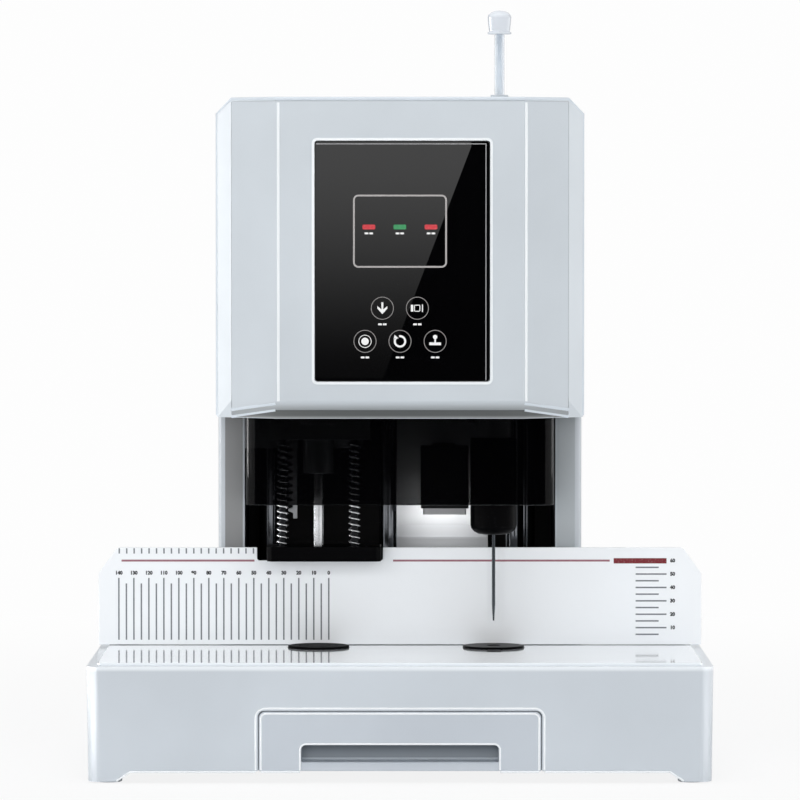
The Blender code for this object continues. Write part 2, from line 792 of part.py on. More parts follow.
def drawer():
    """The chip drawer: its front with the finger slot, and the tray behind it."""
    half = DRAWER_WIDTH / 2
    back = FRONT_Y + DRAWER_PANEL
    pocket_back = back + FINGER_SLOT_DEPTH
    front = plate(
        "drawer_front",
        rounded(
            [(-half, LOWER_EDGE), (half, LOWER_EDGE), (half, DRAWER_TOP), (-half, DRAWER_TOP)],
            [0, 0, DRAWER_CORNER_RADIUS, DRAWER_CORNER_RADIUS],
        ),
        FRONT_Y,
        back,
        "Y",
    )
    slot = FINGER_SLOT_WIDTH / 2
    floor = FLOOR_TOP + GAP
    join(
        front,
        "pocket",
        boxes=[
            (
                (-slot - TRAY_WALL, FRONT_Y + TRAY_WALL, floor),
                (slot + TRAY_WALL, pocket_back, FINGER_SLOT_TOP + TRAY_WALL),
            )
        ],
    )
    cut(
        front,
        "step",
        boxes=[
            (
                (-slot, FRONT_Y - OVERRUN, LOWER_EDGE - OVERRUN),
                (slot, FRONT_Y + FINGER_LIP_STEP, FINGER_LIP_TOP),
            )
        ],
    )
    hole = plate(
        "finger_hole",
        rounded(
            [
                (-slot, FINGER_LIP_TOP),
                (slot, FINGER_LIP_TOP),
                (slot, FINGER_SLOT_TOP),
                (-slot, FINGER_SLOT_TOP),
            ],
            [0, 0, FINGER_SLOT_RADIUS, FINGER_SLOT_RADIUS],
        ),
        FRONT_Y - OVERRUN,
        pocket_back - TRAY_WALL,
        "Y",
    )
    combine(front, hole, "DIFFERENCE")
    finish(front, DRAWER_GREY, 0.4)
    tray_front = pocket_back + GAP
    tray_half = TRAY_WIDTH / 2
    tray = box(
        "drawer_tray",
        (-tray_half, tray_front, floor),
        (tray_half, tray_front + TRAY_LENGTH, TRAY_TOP),
    )
    cut(
        tray,
        "hollow",
        boxes=[
            (
                (TRAY_WALL - tray_half, tray_front + TRAY_WALL, floor + TRAY_WALL),
                (
                    tray_half - TRAY_WALL,
                    tray_front + TRAY_LENGTH - TRAY_WALL,
                    TRAY_TOP + OVERRUN,
                ),
            )
        ],
    )
    finish(tray, STEEL, 0.5, 0.6)


def worktable():
    """The glossy plate that the paper lies on, with holes for the pad and the die."""
    half = TABLE_WIDTH / 2
    front = FRONT_Y + TABLE_FRONT_INSET
    back = FRONT_Y + CHEEK_SETBACK - GAP
    table = plate(
        "worktable",
        rectangle(-half, half, front, back, TABLE_CORNER_RADIUS),
        BASE_TOP + GAP,
        TABLE_TOP,
    )
    low = BASE_TOP - OVERRUN
    high = TABLE_TOP + OVERRUN
    cut(
        table,
        "holes",
        rods=[
            ((DRILL_X, TOOL_Y, low), (DRILL_X, TOOL_Y, high), PAD_RADIUS + GAP),
            ((RIVET_X, TOOL_Y, low), (RIVET_X, TOOL_Y, high), PAD_RADIUS + GAP),
        ],
    )
    cut(
        table,
        "tab",
        boxes=[
            (
                (RIVET_X - DIE_TAB_WIDTH / 2 - GAP, TOOL_Y - PAD_RADIUS - DIE_TAB_REACH - GAP, low),
                (RIVET_X + DIE_TAB_WIDTH / 2 + GAP, TOOL_Y, high),
            )
        ],
    )
    return finish(table, NEAR_WHITE, 0.08)


def fence():
    """The upright back stop for the paper, with the notch that the drill unit passes."""
    half = FENCE_WIDTH / 2
    foot = TABLE_TOP + GAP
    shoulder = FENCE_TOP - FENCE_CORNER_HEIGHT
    inner = half - FENCE_CORNER_WIDTH
    corner = FENCE_CORNER_RADIUS
    outline = rounded(
        [
            (-half, foot),
            (half, foot),
            (half, shoulder),
            (inner, FENCE_TOP),
            (NOTCH_RIGHT, FENCE_TOP),
            (NOTCH_RIGHT, NOTCH_BOTTOM),
            (NOTCH_LEFT, NOTCH_BOTTOM),
            (NOTCH_LEFT, FENCE_TOP),
            (-inner, FENCE_TOP),
            (-half, shoulder),
        ],
        [0, 0, corner, corner, 0, NOTCH_RADIUS, NOTCH_RADIUS, 0, corner, corner],
    )
    back = FENCE_FRONT + FENCE_THICKNESS
    stop = plate("fence", outline, FENCE_FRONT, back, "Y")
    reach = half - FENCE_FLANGE_INSET
    join(
        stop,
        "flange",
        boxes=[
            (
                (-reach, FENCE_FRONT + FENCE_THICKNESS / 2, foot),
                (reach, back + FENCE_FLANGE_DEPTH, foot + FENCE_FLANGE_THICKNESS),
            )
        ],
    )
    return finish(stop, NEAR_WHITE, 0.3)


def drill_pad():
    """The disc that the drill runs out into."""
    top = TABLE_TOP + PAD_PROUD
    bottom = BED_TOP + GAP
    profile = [
        (0.0, top),
        (PAD_RADIUS - PAD_CHAMFER, top),
        (PAD_RADIUS, top - PAD_CHAMFER),
        (PAD_RADIUS, bottom),
        (0.0, bottom),
    ]
    pad = turned("drill_pad", profile, (DRILL_X, TOOL_Y))
    return finish(pad, BLACK_PLASTIC, 0.5)


def lower_die():
    """The heated lower die: its disc, the locking tab and the hollow stem below."""
    top = TABLE_TOP + PAD_PROUD
    bottom = BED_TOP + GAP
    profile = [
        (DIE_RECESS_RADIUS, top),
        (PAD_RADIUS - PAD_CHAMFER, top),
        (PAD_RADIUS, top - PAD_CHAMFER),
        (PAD_RADIUS, bottom),
        (DIE_STEM_RADIUS, bottom),
        (DIE_STEM_RADIUS, DIE_STEM_BOTTOM),
        (DIE_BORE_RADIUS, DIE_STEM_BOTTOM),
        (DIE_BORE_RADIUS, top - DIE_RECESS_DEPTH),
        (DIE_RECESS_RADIUS, top - DIE_RECESS_DEPTH),
    ]
    die = turned("lower_die", profile, (RIVET_X, TOOL_Y), ring=True)
    join(
        die,
        "tab",
        boxes=[
            (
                (RIVET_X - DIE_TAB_WIDTH / 2, TOOL_Y - PAD_RADIUS - DIE_TAB_REACH, BASE_TOP + GAP),
                (RIVET_X + DIE_TAB_WIDTH / 2, TOOL_Y - PAD_RADIUS / 2, TABLE_TOP + PAD_CHAMFER),
            )
        ],
    )
    return finish(die, BLACK_PLASTIC, 0.35)


def frame():
    """The steel frame: bed, two side plates, rear plate and top plate."""
    inner = FRAME_HALF - GAP
    back = FRONT_Y + FRAME_BACK_SETBACK
    bed = box(
        "bed_plate",
        (-inner, FRONT_Y + BED_SETBACK, BED_TOP - BED_THICKNESS),
        (inner, back, BED_TOP),
    )
    hole = DIE_STEM_RADIUS + RUNNING
    cut(
        bed,
        "die_hole",
        rods=[
            (
                (RIVET_X, TOOL_Y, BED_TOP - BED_THICKNESS - OVERRUN),
                (RIVET_X, TOOL_Y, BED_TOP + OVERRUN),
                hole,
            )
        ],
    )
    finish(bed, BLACK_STEEL, 0.5, 1.0)
    column = FRONT_Y + FRAME_COLUMN_SETBACK
    outline = [
        (FRONT_Y + FRAME_FOOT_SETBACK, FLOOR_TOP + GAP),
        (back, FLOOR_TOP + GAP),
        (back, FRAME_TOP),
        (FRONT_Y + FRAME_HEAD_SETBACK, FRAME_TOP),
        (FRONT_Y + FRAME_HEAD_SETBACK, FRAME_ARM_BOTTOM),
        (column, FRAME_ARM_BOTTOM),
        (column, BED_TOP),
        (FRONT_Y + FRAME_FOOT_SETBACK, BED_TOP),
    ]
    for side, low in (("left", -FRAME_HALF - FRAME_THICKNESS), ("right", FRAME_HALF)):
        web = plate(f"frame_side_{side}", outline, low, low + FRAME_THICKNESS, "X")
        finish(web, BLACK_STEEL, 0.5, 1.0)
    rear = box(
        "frame_rear",
        (-inner, FRAME_REAR_Y, BED_TOP + GAP),
        (inner, FRAME_REAR_Y + FRAME_THICKNESS, FRAME_PLATE_TOP),
    )
    finish(rear, BLACK_STEEL, 0.5, 1.0)
    top = box(
        "frame_top",
        (-inner, FRONT_Y + FRAME_HEAD_SETBACK, FRAME_PLATE_BOTTOM),
        (inner, FRAME_REAR_Y - GAP, FRAME_PLATE_TOP),
    )
    cut(
        top,
        "tube_hole",
        rods=[
            (
                (TUBE_X, TOOL_Y, FRAME_PLATE_BOTTOM - OVERRUN),
                (TUBE_X, TOOL_Y, FRAME_PLATE_TOP + OVERRUN),
                GUIDE_RADIUS + GAP,
                SMALL_SIDES,
            )
        ],
    )
    finish(top, BLACK_STEEL, 0.5, 1.0)


def guide_columns():
    """Four round columns that the two carriages slide on."""
    places = {
        "drill_column_front": (DRILL_COLUMN_FRONT_X, COLUMN_FRONT_Y),
        "drill_column_rear": (DRILL_COLUMN_REAR_X, COLUMN_REAR_Y),
        "rivet_column_front": (RIVET_COLUMN_FRONT_X, COLUMN_FRONT_Y),
        "rivet_column_rear": (RIVET_COLUMN_REAR_X, COLUMN_REAR_Y),
    }
    for name, (x, y) in places.items():
        start = (x, y, BED_TOP + GAP)
        column = rod(name, start, (x, y, FRAME_PLATE_BOTTOM - GAP), COLUMN_RADIUS)
        finish(column, CHROME, 0.15, 1.0)


def head_outline(inset, tuck=0.0):
    """The head in plan, drawn in by an inset; its front is moved back by a tuck.

    A drawn-in outline runs out at the back.
    """
    beyond = OVERRUN if inset else 0.0
    back = BACK_Y + beyond
    half_back = half_width_at(HEAD_BACK_SETBACK + beyond) - inset
    facet_slope = (HEAD_FACET_SETBACK - HEAD_FRONT_SETBACK) / (
        (HEAD_FACET_WIDTH - HEAD_CREASE_WIDTH) / 2
    )
    slack = inset * math.tan(math.atan(facet_slope) / 2)
    right = [
        (HEAD_CREASE_WIDTH / 2 - slack, FRONT_Y + HEAD_FRONT_SETBACK + inset + tuck),
        (HEAD_FACET_WIDTH / 2 - inset * facet_slope, FRONT_Y + HEAD_FACET_SETBACK + inset + tuck),
        (HEAD_CORNER_WIDTH / 2 - inset, FRONT_Y + HEAD_CORNER_SETBACK + inset * facet_slope),
        (half_back, back),
    ]
    left = [(-x, y) for x, y in reversed(right)]
    return right + left


def head_front_view(low, inset):
    """The head seen from the front, from a low edge to its chamfered top, drawn in by an inset."""
    half = half_width_at(HEAD_BACK_SETBACK) - inset
    top = HEAD_TOP - inset
    chamfer = HEAD_TOP_CHAMFER - inset * (2 - math.sqrt(2))
    right = [(half, top - chamfer), (half - chamfer, top)]
    left = [(-x, z) for x, z in reversed(right)]
    ease = HEAD_TOP_EASE
    return rounded([(-half, low), (half, low), *right, *left], [0, 0, ease, ease, ease, ease])


def head_form(name, inset):
    """A solid with the head's outer form, drawn in by an inset, its front tucked in at the foot."""
    tucked = head_outline(inset, HEAD_TUCK)
    plain = head_outline(inset)
    plan = lofted(
        name,
        [
            (HEAD_BOTTOM - OVERRUN, tucked),
            (HEAD_BOTTOM, tucked),
            (HEAD_BOTTOM + HEAD_TUCK_HEIGHT, plain),
            (HEAD_TOP + OVERRUN, plain),
        ],
    )
    low = HEAD_BOTTOM - inset * OVERRUN / HEAD_WALL
    front_view = plate(
        name + "_front_view",
        head_front_view(low, inset),
        FRONT_Y,
        BACK_Y + OVERRUN + OVERRUN,
        "Y",
    )
    return combine(plan, front_view, "INTERSECT")


def head_cover_zone(name, margin):
    """The space that the front cover takes out of the head's shell."""
    half = HEAD_FACET_WIDTH / 2 + margin
    low = (-half, FRONT_Y, HEAD_BOTTOM - OVERRUN)
    high = (half, FRONT_Y + COVER_JOINT_SETBACK + margin, HEAD_TOP - HEAD_WALL + margin)
    return box(name, low, high)


def head_casing():
    """The wrap over the head's top and sides, open at the front, the back and underneath."""
    shell = head_form("head_casing", 0.0)
    combine(shell, head_form("head_casing_hollow", HEAD_WALL), "DIFFERENCE")
    combine(shell, head_cover_zone("head_casing_front", GAP), "DIFFERENCE")
    cut(
        shell,
        "tube_hole",
        rods=[
            (
                (TUBE_X, TOOL_Y, HEAD_TOP - HEAD_WALL - OVERRUN),
                (TUBE_X, TOOL_Y, HEAD_TOP + OVERRUN),
                GUIDE_RADIUS + GAP,
                SMALL_SIDES,
            )
        ],
    )
    return finish(shell, SHELL_GREY, 0.35)


def front_cover():
    """The faceted front of the head, with the opening for the glass panel."""
    shell = head_form("front_cover", 0.0)
    combine(shell, head_form("front_cover_hollow", HEAD_WALL), "DIFFERENCE")
    combine(shell, head_cover_zone("front_cover_zone", 0.0), "INTERSECT")
    opening = plate(
        "glass_opening",
        rectangle(
            GLASS_LEFT - GAP,
            GLASS_RIGHT + GAP,
            GLASS_BOTTOM - GAP,
            GLASS_TOP + GAP,
            GLASS_CORNER_RADIUS,
        ),
        FRONT_Y + HEAD_FRONT_SETBACK - OVERRUN,
        FRONT_Y + HEAD_FRONT_SETBACK + HEAD_WALL + OVERRUN,
        "Y",
    )
    combine(shell, opening, "DIFFERENCE")
    return finish(shell, SHELL_GREY, 0.35)


def touch_panel():
    """The black glass panel in the front cover."""
    front = FRONT_Y + HEAD_FRONT_SETBACK - GLASS_PROUD
    outline = rectangle(GLASS_LEFT, GLASS_RIGHT, GLASS_BOTTOM, GLASS_TOP, GLASS_CORNER_RADIUS)
    glass = plate("touch_panel", outline, front, front + GLASS_THICKNESS, "Y")
    return finish(glass, GLASS_BLACK, 0.05)


def column_casings():
    """The two casings beside the throat, each with its cheek, corner and side wall."""
    front = FRONT_Y + CHEEK_SETBACK
    outer_front = half_width_at(CHEEK_SETBACK)
    outer_back = half_width_at(HEAD_BACK_SETBACK)
    inner = outer_front - CHEEK_WIDTH
    corners = [
        (inner, front),
        (outer_front, front),
        (outer_back, BACK_Y),
        (outer_back - HEAD_WALL, BACK_Y),
        (outer_front - HEAD_WALL, front + HEAD_WALL),
        (inner, front + HEAD_WALL),
    ]
    inner_radius = CHEEK_CORNER_RADIUS - HEAD_WALL
    radii = [0, CHEEK_CORNER_RADIUS, 0, 0, inner_radius, 0]
    low = BASE_TOP + GAP
    high = HEAD_BOTTOM - GAP
    right = plate("column_right", rounded(corners, radii), low, high)
    finish(right, SHELL_GREY, 0.4)
    mirrored = [(-x, y) for x, y in reversed(corners)]
    left = plate("column_left", rounded(mirrored, radii[::-1]), low, high)
    finish(left, SHELL_GREY, 0.4)


def rear_cover():
    """The flat back of the column and the head, with its air slots and the inlet's opening."""
    cover = plate(
        "rear_cover",
        head_front_view(BASE_TOP + GAP, HEAD_WALL + RUNNING),
        BACK_Y - REAR_COVER_THICKNESS,
        BACK_Y,
        "Y",
    )
    low = BACK_Y - REAR_COVER_THICKNESS - OVERRUN
    high = BACK_Y + OVERRUN
    slots = []
    for number in range(VENT_COUNT):
        slot_top = VENT_TOP - number * VENT_PITCH
        slots.append(
            (
                (-VENT_WIDTH / 2, low, slot_top - VENT_HEIGHT),
                (VENT_WIDTH / 2, high, slot_top),
            )
        )
    reach = INLET_WIDTH / 2 + GAP
    rise = INLET_HEIGHT / 2 + GAP
    slots.append(((INLET_X - reach, low, INLET_Z - rise), (INLET_X + reach, high, INLET_Z + rise)))
    cut(cover, "slots", boxes=slots)
    return finish(cover, SHELL_GREY, 0.45)


def throat_lip():
    """The flat ring that closes the head underneath and carries the guard."""
    inset = HEAD_WALL + RUNNING
    back = FRONT_Y + CHEEK_SETBACK - GAP
    right = head_outline(inset, HEAD_TUCK)[:3] + [(half_width_at(CHEEK_SETBACK) - inset, back)]
    outline = right + [(-x, y) for x, y in reversed(right)]
    lip = plate("throat_lip", outline, HEAD_BOTTOM, HEAD_BOTTOM + LIP_THICKNESS)
    half = LIP_OPENING_WIDTH / 2
    cut(
        lip,
        "opening",
        boxes=[
            (
                (-half, FRONT_Y + LIP_OPENING_SETBACK, HEAD_BOTTOM - OVERRUN),
                (half, back + OVERRUN, HEAD_BOTTOM + LIP_THICKNESS + OVERRUN),
            )
        ],
    )
    return finish(lip, BLACK_PLASTIC, 0.5)


def guard():
    """The smoked guard in front of the tools, bent round at both sides."""
    half = GUARD_WIDTH / 2
    front = FRONT_Y + GUARD_SETBACK
    back = FRONT_Y + GUARD_RETURN_SETBACK
    wall = GUARD_THICKNESS
    bend = GUARD_BEND_RADIUS
    outline = rounded(
        [
            (-half, back),
            (-half, front),
            (half, front),
            (half, back),
            (half - wall, back),
            (half - wall, front + wall),
            (wall - half, front + wall),
            (wall - half, back),
        ],
        [0, bend, bend, 0, 0, bend - wall, bend - wall, 0],
    )
    sheet = plate("guard", outline, GUARD_BOTTOM, HEAD_BOTTOM - GAP)
    return finish(sheet, SMOKED, 0.05, alpha=0.4)


def centre_cover():
    """The white panel behind the tools, with a foot turned forward along its lower edge."""
    back = FRAME_REAR_Y - GAP
    front = back - CENTRE_COVER_THICKNESS
    profile = [
        (front, CENTRE_COVER_TOP),
        (back, CENTRE_COVER_TOP),
        (back, CENTRE_COVER_BOTTOM),
        (front - CENTRE_COVER_FOOT, CENTRE_COVER_BOTTOM),
        (front - CENTRE_COVER_FOOT, CENTRE_COVER_BOTTOM + CENTRE_COVER_THICKNESS),
        (front, CENTRE_COVER_BOTTOM + CENTRE_COVER_FOOT),
    ]
    cover = plate("centre_cover", profile, CENTRE_COVER_LEFT, CENTRE_COVER_RIGHT, "X")
    return finish(cover, NEAR_WHITE, 0.4)


def work_lamp():
    """The lamp box that hangs in front of the centre cover on a short arm."""
    arm_top = LAMP_TOP
    lamp = box(
        "work_lamp",
        (LAMP_LEFT, FRONT_Y + LAMP_FRONT_SETBACK, LAMP_BOTTOM),
        (LAMP_RIGHT, FRONT_Y + LAMP_BACK_SETBACK, LAMP_TOP),
    )
    join(
        lamp,
        "arm",
        boxes=[
            (
                (
                    LAMP_LEFT + LAMP_ARM_INSET,
                    FRONT_Y + LAMP_FRONT_SETBACK + LAMP_ARM_INSET,
                    arm_top - LAMP_ARM_HEIGHT,
                ),
                (
                    LAMP_RIGHT - LAMP_ARM_INSET,
                    FRAME_REAR_Y - CENTRE_COVER_THICKNESS - GAP - GAP,
                    arm_top - GAP,
                ),
            )
        ],
    )
    return finish(lamp, BLACK_PLASTIC, 0.5)


def belt_outline(radius_a, radius_b):
    """A loop of open belt round the spindle's and the motor's pulleys, at their two radii."""
    start = Vector((DRILL_X, TOOL_Y))
    end = Vector((MOTOR_X, MOTOR_Y))
    along = end - start
    heading = math.degrees(math.atan2(along.y, along.x))
    lean = math.degrees(math.acos((radius_a - radius_b) / along.length))
    around = ROUND_SIDES // 2
    first = arc(start, radius_a, heading + lean, heading + 360.0 - lean, around)
    last = arc(end, radius_b, heading - lean, heading + lean, around)
    return first + last


def drive_belt():
    """The flat belt from the motor's pulley to the spindle's."""
    low = PULLEY_BOTTOM + PULLEY_FLANGE + GAP
    high = PULLEY_TOP - PULLEY_FLANGE - GAP
    outer = GAP + BELT_THICKNESS
    belt = plate(
        "drive_belt",
        belt_outline(SPINDLE_PULLEY_RADIUS + outer, MOTOR_PULLEY_RADIUS + outer),
        low,
        high,
    )
    inner = plate(
        "drive_belt_inside",
        belt_outline(SPINDLE_PULLEY_RADIUS + GAP, MOTOR_PULLEY_RADIUS + GAP),
        low - OVERRUN,
        high + OVERRUN,
    )
    combine(belt, inner, "DIFFERENCE")
    return finish(belt, RUBBER_BLACK, 0.7)


def pulley_profile(radius):
    """The outer side of a flanged pulley, from its top down."""
    flange = radius + BELT_THICKNESS + PULLEY_FLANGE / 2
    return [
        (flange, PULLEY_TOP),
        (flange, PULLEY_TOP - PULLEY_FLANGE),
        (radius, PULLEY_TOP - PULLEY_FLANGE),
        (radius, PULLEY_BOTTOM + PULLEY_FLANGE),
        (flange, PULLEY_BOTTOM + PULLEY_FLANGE),
        (flange, PULLEY_BOTTOM),
    ]


def carriage(name, left, right, front_column_x, rear_column_x):
    """A carriage's plate with its rear boss, and its bores for the bush and the rear column."""
    front = FRONT_Y + CARRIAGE_FRONT_SETBACK
    back = FRONT_Y + CARRIAGE_BACK_SETBACK
    outline = rectangle(left, right, front, back, CARRIAGE_CORNER_RADIUS)
    body = plate(name, outline, CARRIAGE_BOTTOM, CARRIAGE_TOP)
    middle = (CARRIAGE_BOTTOM + CARRIAGE_TOP) / 2
    join(
        body,
        "boss",
        rods=[
            (
                (rear_column_x, COLUMN_REAR_Y, CARRIAGE_BOTTOM - BOSS_DROP),
                (rear_column_x, COLUMN_REAR_Y, middle),
                BOSS_RADIUS,
            )
        ],
    )
    low = CARRIAGE_BOTTOM - BOSS_DROP - OVERRUN
    high = CARRIAGE_TOP + OVERRUN
    cut(
        body,
        "column_bores",
        rods=[
            (
                (front_column_x, COLUMN_FRONT_Y, low),
                (front_column_x, COLUMN_FRONT_Y, high),
                BUSH_RADIUS + GAP,
            ),
            (
                (rear_column_x, COLUMN_REAR_Y, low),
                (rear_column_x, COLUMN_REAR_Y, high),
                COLUMN_RADIUS + RUNNING,
            ),
        ],
    )
    return body


def bush(name, x):
    """The flanged bronze bush that runs on a front column."""
    top = CARRIAGE_TOP + GAP + BUSH_FLANGE_THICKNESS
    bottom = CARRIAGE_BOTTOM - BUSH_DROP
    profile = [
        (COLUMN_RADIUS + RUNNING, top),
        (BUSH_FLANGE_RADIUS, top),
        (BUSH_FLANGE_RADIUS, CARRIAGE_TOP + GAP),
        (BUSH_RADIUS, CARRIAGE_TOP + GAP),
        (BUSH_RADIUS, bottom),
        (COLUMN_RADIUS + RUNNING, bottom),
    ]
    obj = turned(name, profile, (x, COLUMN_FRONT_Y), ring=True)
    return finish(obj, BRONZE, 0.35, 1.0)


def rod_places():
    """The middles of the presser foot's two rods."""
    return {
        "left": (DRILL_X - ROD_SPACING / 2, TOOL_Y),
        "right": (DRILL_X + ROD_SPACING / 2, TOOL_Y),
    }


def drill_carriage():
    """The drill's carriage: plate, spindle housing and the seat that the springs push against."""
    body = carriage(
        "drill_carriage",
        DRILL_CARRIAGE_LEFT,
        DRILL_CARRIAGE_RIGHT,
        DRILL_COLUMN_FRONT_X,
        DRILL_COLUMN_REAR_X,
    )
    middle = (CARRIAGE_BOTTOM + CARRIAGE_TOP) / 2
    seat_half = ROD_SPACING / 2 + SEAT_MARGIN
    join(
        body,
        "seat",
        boxes=[
            (
                (DRILL_X - seat_half, TOOL_Y - SEAT_DEPTH / 2, SEAT_BOTTOM),
                (DRILL_X + seat_half, TOOL_Y + SEAT_DEPTH / 2, SEAT_TOP),
            )
        ],
        rods=[
            (
                (DRILL_X, TOOL_Y, SEAT_TOP - SEAT_THICKNESS / 2),
                (DRILL_X, TOOL_Y, middle),
                SPINDLE_HOUSING_RADIUS,
            )
        ],
    )
    low = SEAT_BOTTOM - OVERRUN
    high = CARRIAGE_TOP + OVERRUN
    bores = [
        ((DRILL_X, TOOL_Y, low), (DRILL_X, TOOL_Y, high), SPINDLE_RADIUS + RUNNING),
        ((MOTOR_X, MOTOR_Y, low), (MOTOR_X, MOTOR_Y, high), MOTOR_SHAFT_RADIUS + RUNNING),
    ]
    for x, y in rod_places().values():
        bores.append(
            ((x, y, low), (x, y, SEAT_TOP + OVERRUN), ROD_RADIUS + RUNNING, SMALL_SIDES)
        )
    cut(body, "bores", rods=bores)
    return finish(body, ALUMINIUM, 0.4, 1.0)


def drill_motor():
    """The motor that hangs under the carriage beside the spindle."""
    top = CARRIAGE_BOTTOM - GAP
    bottom = top - MOTOR_LENGTH
    profile = [
        (0.0, top),
        (MOTOR_RADIUS, top),
        (MOTOR_RADIUS, bottom + MOTOR_CAP_HEIGHT),
        (MOTOR_CAP_RADIUS, bottom + MOTOR_CAP_HEIGHT),
        (MOTOR_CAP_RADIUS, bottom),
        (0.0, bottom),
    ]
    motor = turned("drill_motor", profile, (MOTOR_X, MOTOR_Y))
    return finish(motor, STEEL, 0.35, 1.0)


def motor_pulley():
    """The motor's pulley on its shaft, which passes through the carriage."""
    foot = CARRIAGE_BOTTOM
    profile = [(0.0, PULLEY_TOP)] + pulley_profile(MOTOR_PULLEY_RADIUS)
    profile += [(MOTOR_SHAFT_RADIUS, PULLEY_BOTTOM), (MOTOR_SHAFT_RADIUS, foot), (0.0, foot)]
    pulley = turned("motor_pulley", profile, (MOTOR_X, MOTOR_Y))
    return finish(pulley, ALUMINIUM, 0.35, 1.0)


def drill_spindle():
    """The hollow spindle: pulley, shaft and the nose that grips the bit."""
    collar = SEAT_BOTTOM - GAP
    nose = collar - NOSE_LENGTH
    socket = nose + NOSE_SOCKET_DEPTH
    profile = [(SPINDLE_BORE_RADIUS, PULLEY_TOP)] + pulley_profile(SPINDLE_PULLEY_RADIUS)
    profile += [
        (SPINDLE_RADIUS, PULLEY_BOTTOM),
        (SPINDLE_RADIUS, collar),
        (NOSE_RADIUS, collar),
        (NOSE_RADIUS, nose),
        (BIT_RADIUS + GAP, nose),
        (BIT_RADIUS + GAP, socket),
        (SPINDLE_BORE_RADIUS, socket),
    ]
    spindle = turned("drill_spindle", profile, (DRILL_X, TOOL_Y), ring=True)
    return finish(spindle, STEEL, 0.3, 1.0)


def drill_bit():
    """The hollow bit, ground to an edge at its lower end."""
    top = SEAT_BOTTOM - GAP - NOSE_LENGTH + NOSE_SOCKET_DEPTH - GAP
    edge = FOOT_BOTTOM + BIT_CLEAR_OF_FOOT
    profile = [
        (BIT_BORE_RADIUS, top),
        (BIT_RADIUS, top),
        (BIT_RADIUS, edge + BIT_EDGE_HEIGHT),
        (BIT_BORE_RADIUS + BIT_EDGE_WIDTH, edge),
        (BIT_BORE_RADIUS, edge),
    ]
    bit = turned("drill_bit", profile, (DRILL_X, TOOL_Y), ring=True)
    return finish(bit, CHROME, 0.15, 1.0)


def presser_foot():
    """The block that holds the paper down round the bit."""
    front = FRONT_Y + FOOT_FRONT_SETBACK
    back = FRONT_Y + FOOT_BACK_SETBACK
    corner = FOOT_CORNER
    outline = [
        (FOOT_LEFT + corner, front),
        (FOOT_RIGHT - corner, front),
        (FOOT_RIGHT, front + corner),
        (FOOT_RIGHT, back),
        (FOOT_LEFT, back),
        (FOOT_LEFT, front + corner),
    ]
    foot = plate("presser_foot", outline, FOOT_BOTTOM, FOOT_TOP)
    seat = FOOT_TOP - FOOT_THICKNESS * ROD_SEAT_SHARE
    holes = [
        (
            (DRILL_X, TOOL_Y, FOOT_BOTTOM - OVERRUN),
            (DRILL_X, TOOL_Y, FOOT_TOP + OVERRUN),
            BIT_RADIUS + RUNNING,
        )
    ]
    for x, y in rod_places().values():
        holes.append(((x, y, seat), (x, y, FOOT_TOP + OVERRUN), ROD_RADIUS + GAP, SMALL_SIDES))
    cut(foot, "holes", rods=holes)
    return finish(foot, BLACK_PLASTIC, 0.4)


def presser_rods():
    """The foot's two rods, whose heads rest on the carriage's seat."""
    bottom = FOOT_TOP - FOOT_THICKNESS * ROD_SEAT_SHARE + GAP
    head = SEAT_TOP + GAP
    profile = [
        (0.0, head + ROD_HEAD_HEIGHT),
        (ROD_HEAD_RADIUS, head + ROD_HEAD_HEIGHT),
        (ROD_HEAD_RADIUS, head),
        (ROD_RADIUS, head),
        (ROD_RADIUS, bottom),
        (0.0, bottom),
    ]
    for side, centre in rod_places().items():
        piece = turned(f"presser_rod_{side}", profile, centre, SMALL_SIDES)
        finish(piece, CHROME, 0.2, 1.0)


def spring_route(low, high):
    """The middle line of a spring: a straight end, the curls and a straight end."""
    steps = SPRING_CURLS * SPRING_POINTS_PER_CURL
    first = low + SPRING_WIRE
    last = high - SPRING_WIRE
    route = [(SPRING_RADIUS, 0.0, low)]
    for step in range(steps + 1):
        turn = math.tau * step / SPRING_POINTS_PER_CURL
        height = first + (last - first) * step / steps
        route.append((SPRING_RADIUS * math.cos(turn), SPRING_RADIUS * math.sin(turn), height))
    route.append((SPRING_RADIUS, 0.0, high))
    return route


def least_gap(route, wire):
    """The least clear distance between stretches of a wire that are half a curl or more apart."""
    points = np.array(route)
    apart = SPRING_POINTS_PER_CURL // 2
    least = math.inf
    for index in range(len(points) - apart):
        away = np.linalg.norm(points[index + apart :] - points[index], axis=1)
        least = min(least, float(away.min()))
    return least - wire


def presser_springs():
    """The two coil springs round the rods, between the foot and the carriage's seat."""
    low = FOOT_TOP + GAP
    high = SEAT_BOTTOM - GAP
    route = spring_route(low, high)
    print(f"least gap of a presser spring to itself: {least_gap(route, SPRING_WIRE):.6f} m")
    for side, (x, y) in rod_places().items():
        name = f"presser_spring_{side}"
        curve = bpy.data.curves.new(name, "CURVE")
        curve.dimensions = "3D"
        curve.bevel_depth = SPRING_WIRE / 2
        curve.bevel_resolution = 1
        curve.use_fill_caps = True
        spline = curve.splines.new("POLY")
        spline.points.add(len(route) - 1)
        for point, place_of in zip(spline.points, route):
            point.co = (*place_of, 1.0)
        guide = place(name + "_route", curve)
        bpy.context.view_layer.update()
        wound = guide.evaluated_get(bpy.context.evaluated_depsgraph_get())
        mesh = bpy.data.meshes.new_from_object(wound)
        mesh.name = name
        bpy.data.objects.remove(guide, do_unlink=True)
        bpy.data.curves.remove(curve)
        bm = bmesh.new()
        bm.from_mesh(mesh)
        bmesh.ops.remove_doubles(bm, verts=bm.verts, dist=GAP / 100)
        bm.to_mesh(mesh)
        bm.free()
        finish(place(name, mesh, (x, y, 0.0)), CHROME, 0.2, 1.0)


